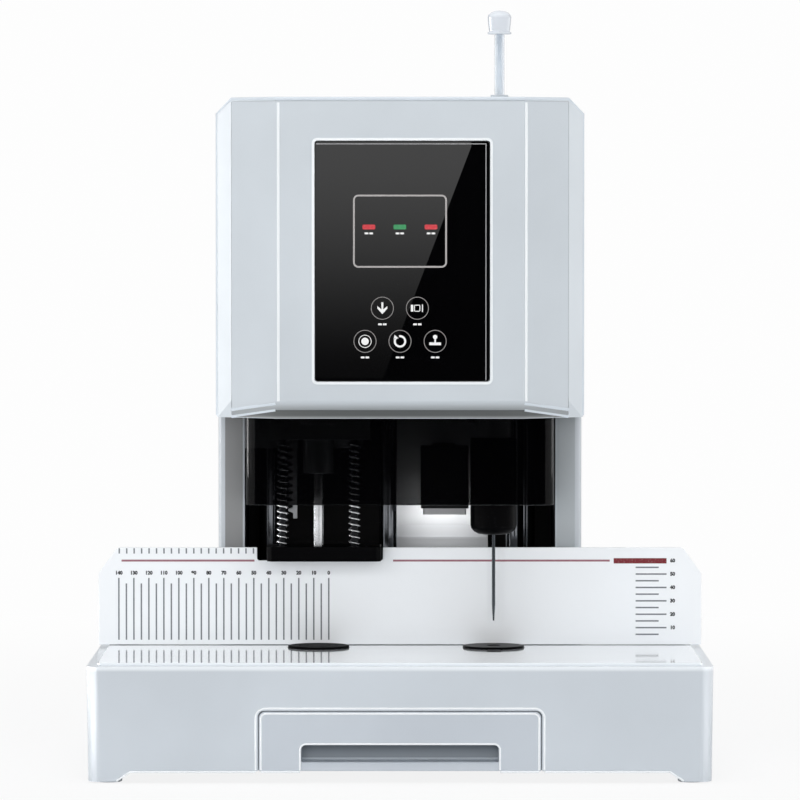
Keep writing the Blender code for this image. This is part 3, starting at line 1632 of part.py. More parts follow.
def tooth_half_thickness():
    """Half a tooth's thickness on the pitch line, thinned for backlash."""
    return (math.pi * GEAR_MODULE / 2 - GEAR_BACKLASH / 2) / 2


def involute(angle):
    """The involute function of a pressure angle."""
    return math.tan(angle) - angle


def pinion_outline():
    """The pinion's teeth round its middle, with one tooth pointing along the first axis."""
    base = PITCH_RADIUS * math.cos(PRESSURE_ANGLE)
    tip = PITCH_RADIUS + ADDENDUM_SHARE * GEAR_MODULE
    root = PITCH_RADIUS - DEDENDUM_SHARE * GEAR_MODULE
    half = tooth_half_thickness() / PITCH_RADIUS + involute(PRESSURE_ANGLE)
    flank = [(root, half)]
    for radius in np.linspace(base, tip, 4):
        flank.append((radius, half - involute(math.acos(base / radius))))
    points = []
    for tooth in range(PINION_TEETH):
        middle = math.tau * tooth / PINION_TEETH
        for radius, lean in flank:
            points.append((radius * math.cos(middle - lean), radius * math.sin(middle - lean)))
        for radius, lean in reversed(flank):
            points.append((radius * math.cos(middle + lean), radius * math.sin(middle + lean)))
    return points


def feed_pinion():
    """The pinion that drives the rack, with its shaft to the feed motor."""
    outline = [(PINION_X + x, PINION_Z + z) for x, z in pinion_outline()]
    back = GEAR_FRONT + GEAR_FACE_WIDTH
    gear = plate("feed_pinion", outline, GEAR_FRONT, back, "Y")
    gear.data.transform(Matrix.Translation((-PINION_X, 0.0, -PINION_Z)))
    gear.location = (PINION_X, 0.0, PINION_Z)
    join(
        gear,
        "shaft",
        rods=[
            (
                (PINION_X, GEAR_FRONT + GEAR_FACE_WIDTH / 2, PINION_Z),
                (PINION_X, back + GEAR_MODULE, PINION_Z),
                PINION_SHAFT_RADIUS,
                SMALL_SIDES,
            )
        ],
    )
    return finish(gear, STEEL, 0.35, 1.0)


def drill_rack():
    """The rack under the drill's carriage, with its teeth towards the pinion."""
    line = PINION_X + PITCH_RADIUS
    pitch = math.pi * GEAR_MODULE
    tip = line - ADDENDUM_SHARE * GEAR_MODULE
    root = line + DEDENDUM_SHARE * GEAR_MODULE
    at_tip = tooth_half_thickness() - ADDENDUM_SHARE * GEAR_MODULE * math.tan(PRESSURE_ANGLE)
    at_root = tooth_half_thickness() + DEDENDUM_SHARE * GEAR_MODULE * math.tan(PRESSURE_ANGLE)
    top = CARRIAGE_BOTTOM - GAP
    outline = [(line + RACK_BACK, top), (line + RACK_BACK, RACK_BOTTOM), (root, RACK_BOTTOM)]
    first = math.ceil((RACK_BOTTOM + at_root - PINION_Z) / pitch - 1 / 2)
    last = math.floor((top - at_root - PINION_Z) / pitch - 1 / 2)
    for tooth in range(first, last + 1):
        middle = PINION_Z + (tooth + 1 / 2) * pitch
        outline += [
            (root, middle - at_root),
            (tip, middle - at_tip),
            (tip, middle + at_tip),
            (root, middle + at_root),
        ]
    outline.append((root, top))
    rack = plate("drill_rack", outline[::-1], GEAR_FRONT, GEAR_FRONT + GEAR_FACE_WIDTH, "Y")
    return finish(rack, STEEL, 0.35, 1.0)


def feed_motor():
    """The geared motor behind the pinion, with the face that bolts it to the side plate."""
    face = GEAR_FRONT + GEAR_FACE_WIDTH + GEAR_MODULE + GAP
    back = face + FEED_MOTOR_LENGTH
    motor = rod(
        "feed_motor",
        (PINION_X, face, PINION_Z),
        (PINION_X, back, PINION_Z),
        FEED_MOTOR_RADIUS,
    )
    half = FEED_MOTOR_FACE_HEIGHT / 2
    join(
        motor,
        "face",
        boxes=[
            (
                (GAP - FRAME_HALF, face, PINION_Z - half),
                (PINION_X + FEED_MOTOR_RADIUS, face + FEED_MOTOR_FACE_THICKNESS, PINION_Z + half),
            )
        ],
    )
    return finish(motor, STEEL, 0.35, 1.0)


def rivet_carriage():
    """The rivet unit's carriage: plate, neck over the head and the nut on the screw."""
    body = carriage(
        "rivet_carriage",
        RIVET_CARRIAGE_LEFT,
        RIVET_CARRIAGE_RIGHT,
        RIVET_COLUMN_FRONT_X,
        RIVET_COLUMN_REAR_X,
    )
    middle = (CARRIAGE_BOTTOM + CARRIAGE_TOP) / 2
    neck = RIVET_HEAD_TOP + GAP
    join(
        body,
        "hanging",
        rods=[
            ((RIVET_X, TOOL_Y, neck), (RIVET_X, TOOL_Y, middle), RIVET_NECK_RADIUS),
            ((SCREW_X, SCREW_Y, CARRIAGE_BOTTOM - NUT_DROP), (SCREW_X, SCREW_Y, middle), NUT_RADIUS),
        ],
    )
    low = neck - OVERRUN
    high = CARRIAGE_TOP + OVERRUN
    cut(
        body,
        "bores",
        rods=[
            (
                (RIVET_X, TOOL_Y, low),
                (RIVET_X, TOOL_Y, high),
                NEEDLE_RADIUS + RUNNING,
                SMALL_SIDES,
            ),
            (
                (SCREW_X, SCREW_Y, low),
                (SCREW_X, SCREW_Y, high),
                SCREW_RADIUS + RUNNING,
                SMALL_SIDES,
            ),
        ],
    )
    return finish(body, ALUMINIUM, 0.4, 1.0)


def rivet_head():
    """The black heated head, drawn in round its lower end."""
    shoulder = RIVET_HEAD_BOTTOM + RIVET_HEAD_SHOULDER
    bore = NEEDLE_RADIUS + RUNNING
    profile = [(bore, RIVET_HEAD_TOP), (RIVET_HEAD_RADIUS, RIVET_HEAD_TOP)]
    for angle in np.linspace(0.0, math.pi / 2, ARC_STEPS):
        across = RIVET_HEAD_RADIUS - RIVET_HEAD_TIP_RADIUS
        profile.append(
            (
                RIVET_HEAD_TIP_RADIUS + across * math.cos(angle),
                shoulder - RIVET_HEAD_SHOULDER * math.sin(angle),
            )
        )
    profile.append((bore, RIVET_HEAD_BOTTOM))
    head = turned("rivet_head", profile, (RIVET_X, TOOL_Y), ring=True)
    return finish(head, BLACK_PLASTIC, 0.35)


def rivet_screw():
    """The lead screw that raises and lowers the rivet unit."""
    top = FRAME_PLATE_BOTTOM - GAP - RIVET_MOTOR_LENGTH - GAP
    screw = rod(
        "rivet_screw",
        (SCREW_X, SCREW_Y, SCREW_BOTTOM),
        (SCREW_X, SCREW_Y, top),
        SCREW_RADIUS,
        SMALL_SIDES,
    )
    return finish(screw, STEEL, 0.3, 1.0)


def rivet_motor():
    """The motor under the frame's top plate that turns the lead screw."""
    top = FRAME_PLATE_BOTTOM - GAP
    bottom = top - RIVET_MOTOR_LENGTH
    profile = [
        (0.0, top),
        (RIVET_MOTOR_RADIUS, top),
        (RIVET_MOTOR_RADIUS, bottom + RIVET_MOTOR_LIP),
        (RIVET_MOTOR_RADIUS - RIVET_MOTOR_LIP, bottom),
        (0.0, bottom),
    ]
    motor = turned("rivet_motor", profile, (SCREW_X, SCREW_Y))
    return finish(motor, STEEL, 0.35, 1.0)


def guide_needle():
    """The needle that threads the tube through the paper, with its clamp above the carriage."""
    bottom = CARRIAGE_TOP + NEEDLE_CLAMP_LIFT
    top = bottom + NEEDLE_CLAMP_HEIGHT
    profile = [
        (0.0, top),
        (NEEDLE_CLAMP_RADIUS, top),
        (NEEDLE_CLAMP_RADIUS, bottom),
        (NEEDLE_RADIUS, bottom),
        (NEEDLE_RADIUS, NEEDLE_TIP + NEEDLE_TIP_LENGTH),
        (NEEDLE_POINT_RADIUS, NEEDLE_TIP),
        (0.0, NEEDLE_TIP),
    ]
    needle = turned("guide_needle", profile, (RIVET_X, TOOL_Y), SMALL_SIDES)
    return finish(needle, STEEL, 0.25, 1.0)


def tube_guide():
    """The pipe that leads the nylon tube down through the head, with its collar on top."""
    bore = TUBE_RADIUS + RUNNING
    flange = FRAME_PLATE_TOP + GAP
    profile = [
        (bore, HEAD_TOP + COLLAR_HEIGHT),
        (COLLAR_RADIUS, HEAD_TOP + COLLAR_HEIGHT),
        (COLLAR_RADIUS, HEAD_TOP + GAP),
        (GUIDE_RADIUS, HEAD_TOP + GAP),
        (GUIDE_RADIUS, flange + GUIDE_FLANGE_THICKNESS),
        (GUIDE_FLANGE_RADIUS, flange + GUIDE_FLANGE_THICKNESS),
        (GUIDE_FLANGE_RADIUS, flange),
        (GUIDE_RADIUS, flange),
        (GUIDE_RADIUS, GUIDE_BOTTOM),
        (bore, GUIDE_BOTTOM),
    ]
    guide = turned("tube_guide", profile, (TUBE_X, TOOL_Y), SMALL_SIDES, ring=True)
    return finish(guide, BLACK_PLASTIC, 0.4)


def tube_stock():
    """The nylon tube that the rivets are cut from."""
    profile = [
        (TUBE_BORE_RADIUS, TUBE_TOP),
        (TUBE_RADIUS, TUBE_TOP),
        (TUBE_RADIUS, TUBE_BOTTOM),
        (TUBE_BORE_RADIUS, TUBE_BOTTOM),
    ]
    tube = turned("tube_stock", profile, (TUBE_X, TOOL_Y), SMALL_SIDES, ring=True)
    return finish(tube, NYLON, 0.25, alpha=0.5)


def push_cap():
    """The domed cap on the tube, with the tapered stem that holds it in the tube's bore."""
    bottom = TUBE_TOP + GAP
    flange = bottom + CAP_FLANGE_THICKNESS
    shoulder = CAP_TOP - CAP_SHOULDER
    profile = []
    for angle in np.linspace(math.pi / 2, 0.0, ARC_STEPS):
        profile.append((CAP_RADIUS * math.cos(angle), shoulder + CAP_SHOULDER * math.sin(angle)))
    profile[0] = (0.0, CAP_TOP)
    profile += [
        (CAP_WAIST_RADIUS, flange),
        (CAP_RADIUS, flange),
        (CAP_RADIUS, bottom),
        (TUBE_BORE_RADIUS - GAP, bottom),
        (STEM_TIP_RADIUS, TUBE_TOP - STEM_LENGTH),
        (0.0, TUBE_TOP - STEM_LENGTH),
    ]
    cap = turned("push_cap", profile, (TUBE_X, TOOL_Y), ROUND_SIDES)
    return finish(cap, NEAR_WHITE, 0.2, alpha=0.8)


def control_board():
    """The control board behind the frame's rear plate, on four standoffs."""
    half = BOARD_WIDTH / 2
    wall = FRAME_REAR_Y + FRAME_THICKNESS + GAP
    face = wall + BOARD_STANDOFF
    back = face + BOARD_THICKNESS
    board = box("control_board", (-half, face, BOARD_BOTTOM), (half, back, BOARD_TOP))
    pegs = []
    for x in (STANDOFF_INSET - half, half - STANDOFF_INSET):
        for z in (BOARD_BOTTOM + STANDOFF_INSET, BOARD_TOP - STANDOFF_INSET):
            pegs.append(
                ((x, wall, z), (x, face + BOARD_THICKNESS / 2, z), STANDOFF_RADIUS, SMALL_SIDES)
            )
    third = BOARD_WIDTH / 3
    rows = (BOARD_TOP - BOARD_BOTTOM) / 4
    inner = face + BOARD_THICKNESS / 2
    parts = [
        (
            (-half + STANDOFF_INSET, inner, BOARD_BOTTOM + rows),
            (third / 2 - half, back + HEATSINK_HEIGHT, BOARD_TOP - rows),
        ),
        (
            (-third / 4, inner, BOARD_BOTTOM + rows),
            (third / 4, back + CHIP_HEIGHT, BOARD_BOTTOM + rows + third / 2),
        ),
        (
            (half - third / 2, inner, BOARD_TOP - rows - rows),
            (half - STANDOFF_INSET, back + HEATSINK_HEIGHT / 2, BOARD_TOP - rows),
        ),
    ]
    join(board, "parts", boxes=parts, rods=pegs)
    return finish(board, BOARD_GREEN, 0.5)


def transformer():
    """The mains transformer on the base's floor, its coil standing out of its core."""
    left = TRANSFORMER_X - TRANSFORMER_WIDTH / 2
    right = TRANSFORMER_X + TRANSFORMER_WIDTH / 2
    front = FRONT_Y + TRANSFORMER_SETBACK - TRANSFORMER_DEPTH / 2
    back = FRONT_Y + TRANSFORMER_SETBACK + TRANSFORMER_DEPTH / 2
    low = FLOOR_TOP + GAP
    core = box("transformer", (left, front, low), (right, back, low + TRANSFORMER_HEIGHT))
    join(
        core,
        "coil",
        boxes=[
            (
                (left + COIL_INSET, front - COIL_OVERHANG, low + COIL_INSET),
                (right - COIL_INSET, back + COIL_OVERHANG, low + TRANSFORMER_HEIGHT - COIL_INSET),
            )
        ],
    )
    return finish(core, COPPER, 0.5, 0.3)


def power_inlet():
    """The mains inlet and switch module: flange, three-pin socket and the rocker's pocket."""
    half = INLET_WIDTH / 2
    rise = INLET_HEIGHT / 2
    face = BACK_Y + GAP + INLET_FLANGE_THICKNESS
    body = box(
        "power_inlet",
        (INLET_X - half, BACK_Y - INLET_DEPTH, INLET_Z - rise),
        (INLET_X + half, face - INLET_FLANGE_THICKNESS / 2, INLET_Z + rise),
    )
    join(
        body,
        "flange",
        boxes=[
            (
                (INLET_X - half - INLET_FLANGE, BACK_Y + GAP, INLET_Z - rise - INLET_FLANGE),
                (INLET_X + half + INLET_FLANGE, face, INLET_Z + rise + INLET_FLANGE),
            )
        ],
    )
    socket = INLET_X + SOCKET_OFFSET
    floor = face - SOCKET_DEPTH
    switch = INLET_X - ROCKER_OFFSET
    pocket = ROCKER_HEIGHT / 2 + RUNNING * 4
    cut(
        body,
        "wells",
        boxes=[
            (
                (socket - SOCKET_WIDTH / 2, floor, INLET_Z - SOCKET_HEIGHT / 2),
                (socket + SOCKET_WIDTH / 2, face + OVERRUN, INLET_Z + SOCKET_HEIGHT / 2),
            ),
            (
                (
                    switch - ROCKER_WIDTH / 2 - GAP,
                    face - ROCKER_POCKET_DEPTH,
                    INLET_Z - pocket,
                ),
                (switch + ROCKER_WIDTH / 2 + GAP, face + OVERRUN, INLET_Z + pocket),
            ),
        ],
    )
    pins = []
    for across, lift in ((-PIN_SPACING, -1), (0.0, 1), (PIN_SPACING, -1)):
        middle = INLET_Z + lift * PIN_HEIGHT / 2
        pins.append(
            (
                (socket + across - PIN_WIDTH / 2, floor - PIN_WIDTH, middle - PIN_HEIGHT / 2),
                (socket + across + PIN_WIDTH / 2, floor + PIN_LENGTH, middle + PIN_HEIGHT / 2),
            )
        )
    join(body, "pins", boxes=pins)
    return finish(body, BLACK_PLASTIC, 0.5)


def power_rocker():
    """The mains switch's rocker, tilted to off, with its origin on its pivot."""
    face = BACK_Y + GAP + INLET_FLANGE_THICKNESS
    pivot = face - ROCKER_DEPTH / 2
    x = INLET_X - ROCKER_OFFSET
    rise = ROCKER_HEIGHT / 2
    crown = ROCKER_DEPTH / 2 + ROCKER_PROUD
    outline = [
        (-ROCKER_DEPTH / 2, -rise / 2),
        (crown, -rise),
        (crown - ROCKER_PROUD, 0.0),
        (crown, rise),
        (-ROCKER_DEPTH / 2, rise / 2),
    ]
    rocker = plate("power_rocker", outline, -ROCKER_WIDTH / 2, ROCKER_WIDTH / 2, "X")
    rocker.data.transform(Matrix.Rotation(-ROCKER_TRAVEL / 2, 4, "X"))
    rocker.location = (x, pivot, INLET_Z)
    return finish(rocker, BLACK_PLASTIC, 0.35)


def build():
    """Make every piece, from the desk up."""
    base_shell()
    base_plate()
    base_feet()
    drawer()
    worktable()
    fence()
    drill_pad()
    lower_die()
    frame()
    guide_columns()
    head_casing()
    front_cover()
    touch_panel()
    column_casings()
    rear_cover()
    throat_lip()
    guard()
    centre_cover()
    work_lamp()
    drill_carriage()
    bush("drill_bush", DRILL_COLUMN_FRONT_X)
    drill_motor()
    motor_pulley()
    drive_belt()
    drill_spindle()
    drill_bit()
    presser_foot()
    presser_rods()
    presser_springs()
    feed_pinion()
    drill_rack()
    feed_motor()
    rivet_carriage()
    bush("rivet_bush", RIVET_COLUMN_FRONT_X)
    rivet_head()
    rivet_screw()
    rivet_motor()
    guide_needle()
    tube_guide()
    tube_stock()
    push_cap()
    control_board()
    transformer()
    power_inlet()
    power_rocker()


build()
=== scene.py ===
"""Looks of the desk machine that drills and rivets paper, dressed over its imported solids.

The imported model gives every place. Each class of a sub-assembly adds what the solids leave out, such as
printed scales, keys, screws and coils, rounds the edges that show, and gives each piece its finish.
"""

import json
import logging
import math
from collections.abc import Iterable, Sequence
from dataclasses import dataclass, field
from enum import Enum
from functools import cache

import bmesh
import bpy
from mathutils import Matrix, Vector


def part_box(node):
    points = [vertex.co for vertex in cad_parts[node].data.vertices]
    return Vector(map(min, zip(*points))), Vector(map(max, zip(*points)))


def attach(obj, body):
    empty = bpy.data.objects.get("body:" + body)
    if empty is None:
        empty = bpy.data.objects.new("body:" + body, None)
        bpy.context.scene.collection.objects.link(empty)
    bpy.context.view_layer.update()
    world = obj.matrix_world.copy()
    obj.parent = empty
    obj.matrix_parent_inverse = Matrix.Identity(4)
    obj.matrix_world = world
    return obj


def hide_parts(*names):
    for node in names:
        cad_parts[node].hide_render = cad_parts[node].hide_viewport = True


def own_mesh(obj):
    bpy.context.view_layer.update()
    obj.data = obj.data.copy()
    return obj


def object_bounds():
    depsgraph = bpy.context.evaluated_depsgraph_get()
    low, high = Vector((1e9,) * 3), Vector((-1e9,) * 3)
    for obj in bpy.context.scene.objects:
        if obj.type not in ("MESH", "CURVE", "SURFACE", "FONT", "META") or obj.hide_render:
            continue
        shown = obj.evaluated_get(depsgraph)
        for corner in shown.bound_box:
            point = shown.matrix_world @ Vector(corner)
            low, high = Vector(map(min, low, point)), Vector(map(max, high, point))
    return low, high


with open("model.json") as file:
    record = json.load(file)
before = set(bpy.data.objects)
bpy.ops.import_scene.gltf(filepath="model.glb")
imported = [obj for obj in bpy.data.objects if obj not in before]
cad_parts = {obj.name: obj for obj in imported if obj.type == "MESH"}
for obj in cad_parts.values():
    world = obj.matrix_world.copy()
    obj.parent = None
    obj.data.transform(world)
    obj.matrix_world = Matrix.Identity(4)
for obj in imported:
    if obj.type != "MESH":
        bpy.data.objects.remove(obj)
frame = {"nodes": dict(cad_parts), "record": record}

Point = tuple[float, float, float]
Pair = tuple[float, float]
Outline = list[Pair]
Colour = tuple[float, float, float]
Piece = bpy.types.Object
Material = bpy.types.Material

LOG = logging.getLogger("riveting_machine")
CAD_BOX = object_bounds()
RECORD = frame["record"]
BODY_OF_NODE = {node: body for body, nodes in RECORD["behaviour"]["bodies"].items() for node in nodes}

QUARTER = math.pi / 2
WHITE = (1.0, 1.0, 1.0)
LEVEL = (1.0, 1.0, 0.0)
DUST = (0.35, 0.36, 0.37)
CORNER_STEPS = 6
# Edges that turn more than this, in degrees, are eased, and those beyond the second stay crisp.
EASED_TURN, CRISP_TURN, TURNED_CRISP = 24.0, 26.0, 35.0
WELD = 0.000002
# How far a thin layer sinks into the face that carries it.
SUNK = 0.0001


class Facing(Enum):
    """The way that a flat shape drawn in two axes faces, as its turns about X and Z."""

    FRONT = (QUARTER, 0.0)
    BACK = (QUARTER, math.pi)
    TOP = (0.0, 0.0)


class Ease(Enum):
    """How far a piece's edges are eased."""

    FINE = 0.0001
    THIN = 0.0002
    SHEET = 0.0003
    MILLED = 0.0004
    BENT = 0.0005
    COVER = 0.0006
    HEAD = 0.0008
    DRAWER = 0.0009
    BASE = 0.001


class Lay(Enum):
    """How a metal's fine lines run, as their density along each axis."""

    NONE = (1.0, 1.0, 1.0)
    ALONG_X = (0.02, 1.0, 1.0)
    ALONG_Y = (1.0, 0.02, 1.0)
    ALONG_Z = (1.0, 1.0, 0.02)


class Signal:
    """A value on its way through a node tree, with the operators that the trees use."""

    def __init__(self, tree: "Tree", socket: bpy.types.NodeSocket) -> None:
        """Wrap a tree's output socket."""
        self.tree, self.socket = tree, socket

    def _maths(self, operation: str, other: "Signal | float") -> "Signal":
        """Add a Math node."""
        return self.tree.node("ShaderNodeMath", {"operation": operation}, {0: self, 1: other})

    def __add__(self, other: "Signal | float") -> "Signal":
        """Add two numbers."""
        return self._maths("ADD", other)

    def __mul__(self, other: "Signal | float") -> "Signal":
        """Multiply two numbers."""
        return self._maths("MULTIPLY", other)

    __radd__, __rmul__ = __add__, __mul__

    def above(self, limit: float) -> "Signal":
        """Give 1 where this number is above a limit, and 0 elsewhere."""
        return self._maths("GREATER_THAN", limit)

    def steps(self, low: float, high: float) -> "Signal":
        """Rise smoothly from 0 at one value to 1 at another."""
        inputs = {"Value": self, "From Min": low, "From Max": high}
        return self.tree.node("ShaderNodeMapRange", {"interpolation_type": "SMOOTHSTEP"}, inputs)


class Tree:
    """A node tree, filled through one method."""

    def __init__(self, tree: bpy.types.NodeTree) -> None:
        """Take an empty tree."""
        self.tree = tree

    def node(
        self, kind: str, settings: dict | None = None, inputs: dict | None = None, output: str | int = 0
    ) -> Signal:
        """Add a node.

        Args:
            kind: its type.
            settings: its properties, set first.
            inputs: values or signals for its sockets, by name or number.
            output: which output to give back.

        Returns:
            The chosen output.
        """
        made = self.tree.nodes.new(kind)
        for key, value in (settings or {}).items():
            setattr(made, key, value)
        for key, value in (inputs or {}).items():
            socket = made.inputs[key]
            if isinstance(value, Signal):
                self.tree.links.new(value.socket, socket)
            else:
                socket.default_value = (*value, 1.0) if socket.type == "RGBA" else value
        return Signal(self, made.outputs[output])


class Shader(Tree):
    """A material's or the world's node tree."""

    def __init__(self, name: str, world: bool = False) -> None:
        """Make an empty material, or an empty world, with an output.

        Args:
            name: its name.
            world: whether it is the world.
        """
        self.material = (bpy.data.worlds if world else bpy.data.materials).new(f"{name}_finish")
        self.material.use_nodes = True
        super().__init__(self.material.node_tree)
        self.tree.nodes.clear()
        self.output = self.tree.nodes.new("ShaderNodeOutputWorld" if world else "ShaderNodeOutputMaterial")

    def mix(self, factor: Signal, first: Signal | Colour, second: Signal | Colour) -> Signal:
        """Mix two colours."""
        return self.node("ShaderNodeMix", {"data_type": "RGBA"}, {0: factor, 6: first, 7: second}, 2)

    def place(self) -> Signal:
        """Give the place on the object, in its own coordinates."""
        return self.node("ShaderNodeTexCoord", output="Object")

    def height(self) -> Signal:
        """Give the place's height."""
        return self.node("ShaderNodeSeparateXYZ", None, {0: self.place()}, "Z")

    def away(self) -> Signal:
        """Give the place's distance from the upright axis through the origin."""
        level = self.node("ShaderNodeVectorMath", {"operation": "MULTIPLY"}, {0: self.place(), 1: LEVEL})
        return self.node("ShaderNodeVectorMath", {"operation": "LENGTH"}, {0: level}, "Value")

    def noise(self, scale: float, detail: float = 2.0, lay: Lay = Lay.NONE) -> Signal:
        """Make noise from 0 to 1, with so many features to a metre."""
        laid = self.node("ShaderNodeMapping", None, {"Vector": self.place(), "Scale": lay.value})
        return self.node("ShaderNodeTexNoise", None, {"Vector": laid, "Scale": scale, "Detail": detail})

    def bump(self, height: Signal, depth: float) -> Signal:
        """Turn a height from 0 to 1 into a normal, bumped by a depth in metres."""
        return self.node("ShaderNodeBump", None, {"Strength": 1.0, "Distance": depth, "Height": height})

    def glow(self, strength: Signal | float) -> Signal:
        """Give a white glow."""
        return self.node("ShaderNodeEmission", None, {"Color": WHITE, "Strength": strength})

    def close(self, result: Signal) -> Material:
        """Lead a shader to the output and give the material."""
        self.tree.links.new(result.socket, self.output.inputs["Surface"])
        return self.material

    def surface(self, **values: Signal | Colour | float) -> Material:
        """Finish the material with a Principled shader, its sockets named with _ for a space."""
        inputs = {key.replace("_", " "): value for key, value in values.items()}
        return self.close(self.node("ShaderNodeBsdfPrincipled", None, inputs))


def towards(colour: Colour, level: float, share: float) -> Colour:
    """Bring a colour nearer to a grey level by a share of the way."""
    return tuple(channel + (level - channel) * share for channel in colour)


@dataclass(frozen=True)
class Paint:
    """A sprayed paint: faint orange peel, slow drifts of tone and a few specks of dust, with an optional
    painted highlight that lightens it above a height.
    """

    name: str
    colour: Colour
    roughness: float = 0.32
    peel: float = 1400.0
    peel_depth: float = 0.000012
    drift: float = 0.035
    coat: float = 0.0
    coat_roughness: float = 0.06
    specular: float = 0.5
    top_highlight_colour: Colour | None = None
    top_highlight_heights: Pair = (0.0, 1.0)

    def material(self) -> Material:
        """Build the material.

        Returns:
            The material.
        """
        shader = Shader(self.name)
        slow = shader.noise(9.0, 3.0).steps(0.3, 0.7)
        colour = shader.mix(slow, self.colour, towards(self.colour, 0.0, 2.0 * self.drift))
        colour = shader.mix(shader.noise(2600.0, 1.0).steps(0.76, 0.8) * 0.25, colour, DUST)
        # Painted highlight: the paint lightens above a height, where a rounded top edge catches the light.
        if self.top_highlight_colour is not None:
            colour = shader.mix(shader.height().steps(*self.top_highlight_heights), colour, self.top_highlight_colour)
        return shader.surface(
            Base_Color=colour,
            Roughness=shader.noise(38.0, 4.0) * 0.1 + (self.roughness - 0.05),
            Specular_IOR_Level=self.specular,
            Coat_Weight=self.coat,
            Coat_Roughness=self.coat_roughness,
            Normal=shader.bump(shader.noise(self.peel), self.peel_depth),
        )


@dataclass(frozen=True)
class PaintedShade:
    """A matt paint whose tone changes between two heights, as painted shade that darkens it towards one
    end.
    """

    name: str
    low_colour: Colour
    high_colour: Colour
    heights: Pair
    roughness: float = 0.42
    specular: float = 0.4

    def material(self) -> Material:
        """Build the material.

        Returns:
            The material.
        """
        shader = Shader(self.name)
        fine = shader.noise(1400.0)
        # Painted shade: the tone moves from one colour to the other between the two heights.
        return shader.surface(
            Base_Color=shader.mix(shader.height().steps(*self.heights), self.low_colour, self.high_colour),
            Roughness=fine * 0.1 + (self.roughness - 0.05),
            Specular_IOR_Level=self.specular,
            Normal=shader.bump(fine, 0.00001),
        )


@dataclass(frozen=True)
class Moulding:
    """A moulded plastic with a fine spark-eroded grain."""

    name: str
    colour: Colour
    roughness: float = 0.45
    grain: float = 3200.0
    grain_depth: float = 0.00002
    bloom: float = 0.25
    specular: float = 0.5

    def material(self) -> Material:
        """Build the material.

        Returns:
            The material.
        """
        shader = Shader(self.name)
        bloom = shader.noise(55.0, 4.0)
        bloomed = towards(self.colour, 0.6, 0.06 * self.bloom)
        return shader.surface(
            Base_Color=shader.mix(bloom.steps(0.45, 0.75), self.colour, bloomed),
            Roughness=bloom * 0.16 + (self.roughness - 0.08),
            Specular_IOR_Level=self.specular,
            Normal=shader.bump(shader.noise(self.grain), self.grain_depth),
        )


@dataclass(frozen=True)
class Metal:
    """A metal with fine lines from its making, and a little tarnish."""

    name: str
    colour: Colour
    roughness: float = 0.25
    lay: Lay = Lay.NONE
    lines: float = 900.0
    depth: float = 0.000004
    tarnish: float = 0.12

    def material(self) -> Material:
        """Build the material.

        Returns:
            The material.
        """
        shader = Shader(self.name)
        lines = shader.noise(self.lines, 3.0, self.lay)
        stain = shader.noise(70.0, 4.0)
        stained = towards(self.colour, 0.0, 2.0 * self.tarnish)
        return shader.surface(
            Base_Color=shader.mix(stain.steps(0.4, 0.8), self.colour, stained),
            Metallic=1.0,
            Roughness=stain * 0.12 + lines * 0.06 + (self.roughness - 0.09),
            Normal=shader.bump(lines, self.depth),
        )


@dataclass(frozen=True)
class Clear:
    """A see-through plastic, as bent sheet or drawn tube."""

    name: str
    colour: Colour
    alpha: float
    roughness: float = 0.05
    haze: float = 0.06
    specular: float = 0.5

    def material(self) -> Material:
        """Build the material.

        Returns:
            The material.
        """
        shader = Shader(self.name)
        smear = shader.noise(24.0, 4.0)
        return shader.surface(
            Base_Color=self.colour,
            Roughness=smear * self.roughness + self.roughness / 2,
            Specular_IOR_Level=self.specular,
            Alpha=smear * self.haze + (self.alpha - self.haze / 2),
            Normal=shader.bump(shader.noise(60.0), 0.00003),
        )


@dataclass(frozen=True)
class Ink:
    """A screen-printed ink, a little uneven, with an optional glow."""

    name: str
    colour: Colour
    roughness: float = 0.5
    glow: float = 0.0

    def material(self) -> Material:
        """Build the material.

        Returns:
            The material.
        """
        shader = Shader(self.name)
        patchy = shader.noise(900.0, 3.0).steps(0.5, 0.8)
        return shader.surface(
            Base_Color=shader.mix(patchy, self.colour, towards(self.colour, 1.0, 0.12)),
            Roughness=self.roughness,
            Emission_Color=self.colour,
            Emission_Strength=self.glow,
        )


Finish = Paint | PaintedShade | Moulding | Metal | Clear | Ink


@cache
def coat(finish: Finish) -> Material:
    """Give a finish's material, made once."""
    return finish.material()


class Box:
    """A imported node's box, with its middle and its size along each axis."""

    def __init__(self, node: str) -> None:
        """Read a node's box."""
        self.low, self.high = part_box(node)
        self.middle, self.size = (self.low + self.high) / 2, self.high - self.low


def linked(name: str, data: bpy.types.ID) -> Piece:
    """Add an object to the scene.

    Args:
        name: its name.
        data: its mesh, curve, lamp or camera.

    Returns:
        The object.
    """
    made = bpy.data.objects.new(name, data)
    bpy.context.collection.objects.link(made)
    return made


def piece(name: str, bm: bmesh.types.BMesh, crisp: float = TURNED_CRISP) -> Piece:
    """Turn a bmesh into an object at the origin.

    Args:
        name: the piece's name.
        bm: its mesh, which is freed.
        crisp: edges sharper than this, in degrees, stay crisp.

    Returns:
        The object.
    """
    mesh = bpy.data.meshes.new(name)
    bm.to_mesh(mesh)
    bm.free()
    mesh.shade_smooth()
    mesh.set_sharp_from_angle(angle=math.radians(crisp))
    return linked(name, mesh)


def baked(helper: Piece, name: str) -> Piece:
    """Turn an object with modifiers, a curve or a text into a plain mesh at the origin.

    Args:
        helper: the object, which is removed.
        name: the new piece's name.

    Returns:
        The plain piece.
    """
    bpy.context.view_layer.update()
    graph = bpy.context.evaluated_depsgraph_get()
    mesh = bpy.data.meshes.new_from_object(helper.evaluated_get(graph), depsgraph=graph)
    mesh.transform(helper.matrix_world)
    bpy.data.objects.remove(helper, do_unlink=True)
    mesh.name = name
    return linked(name, mesh)


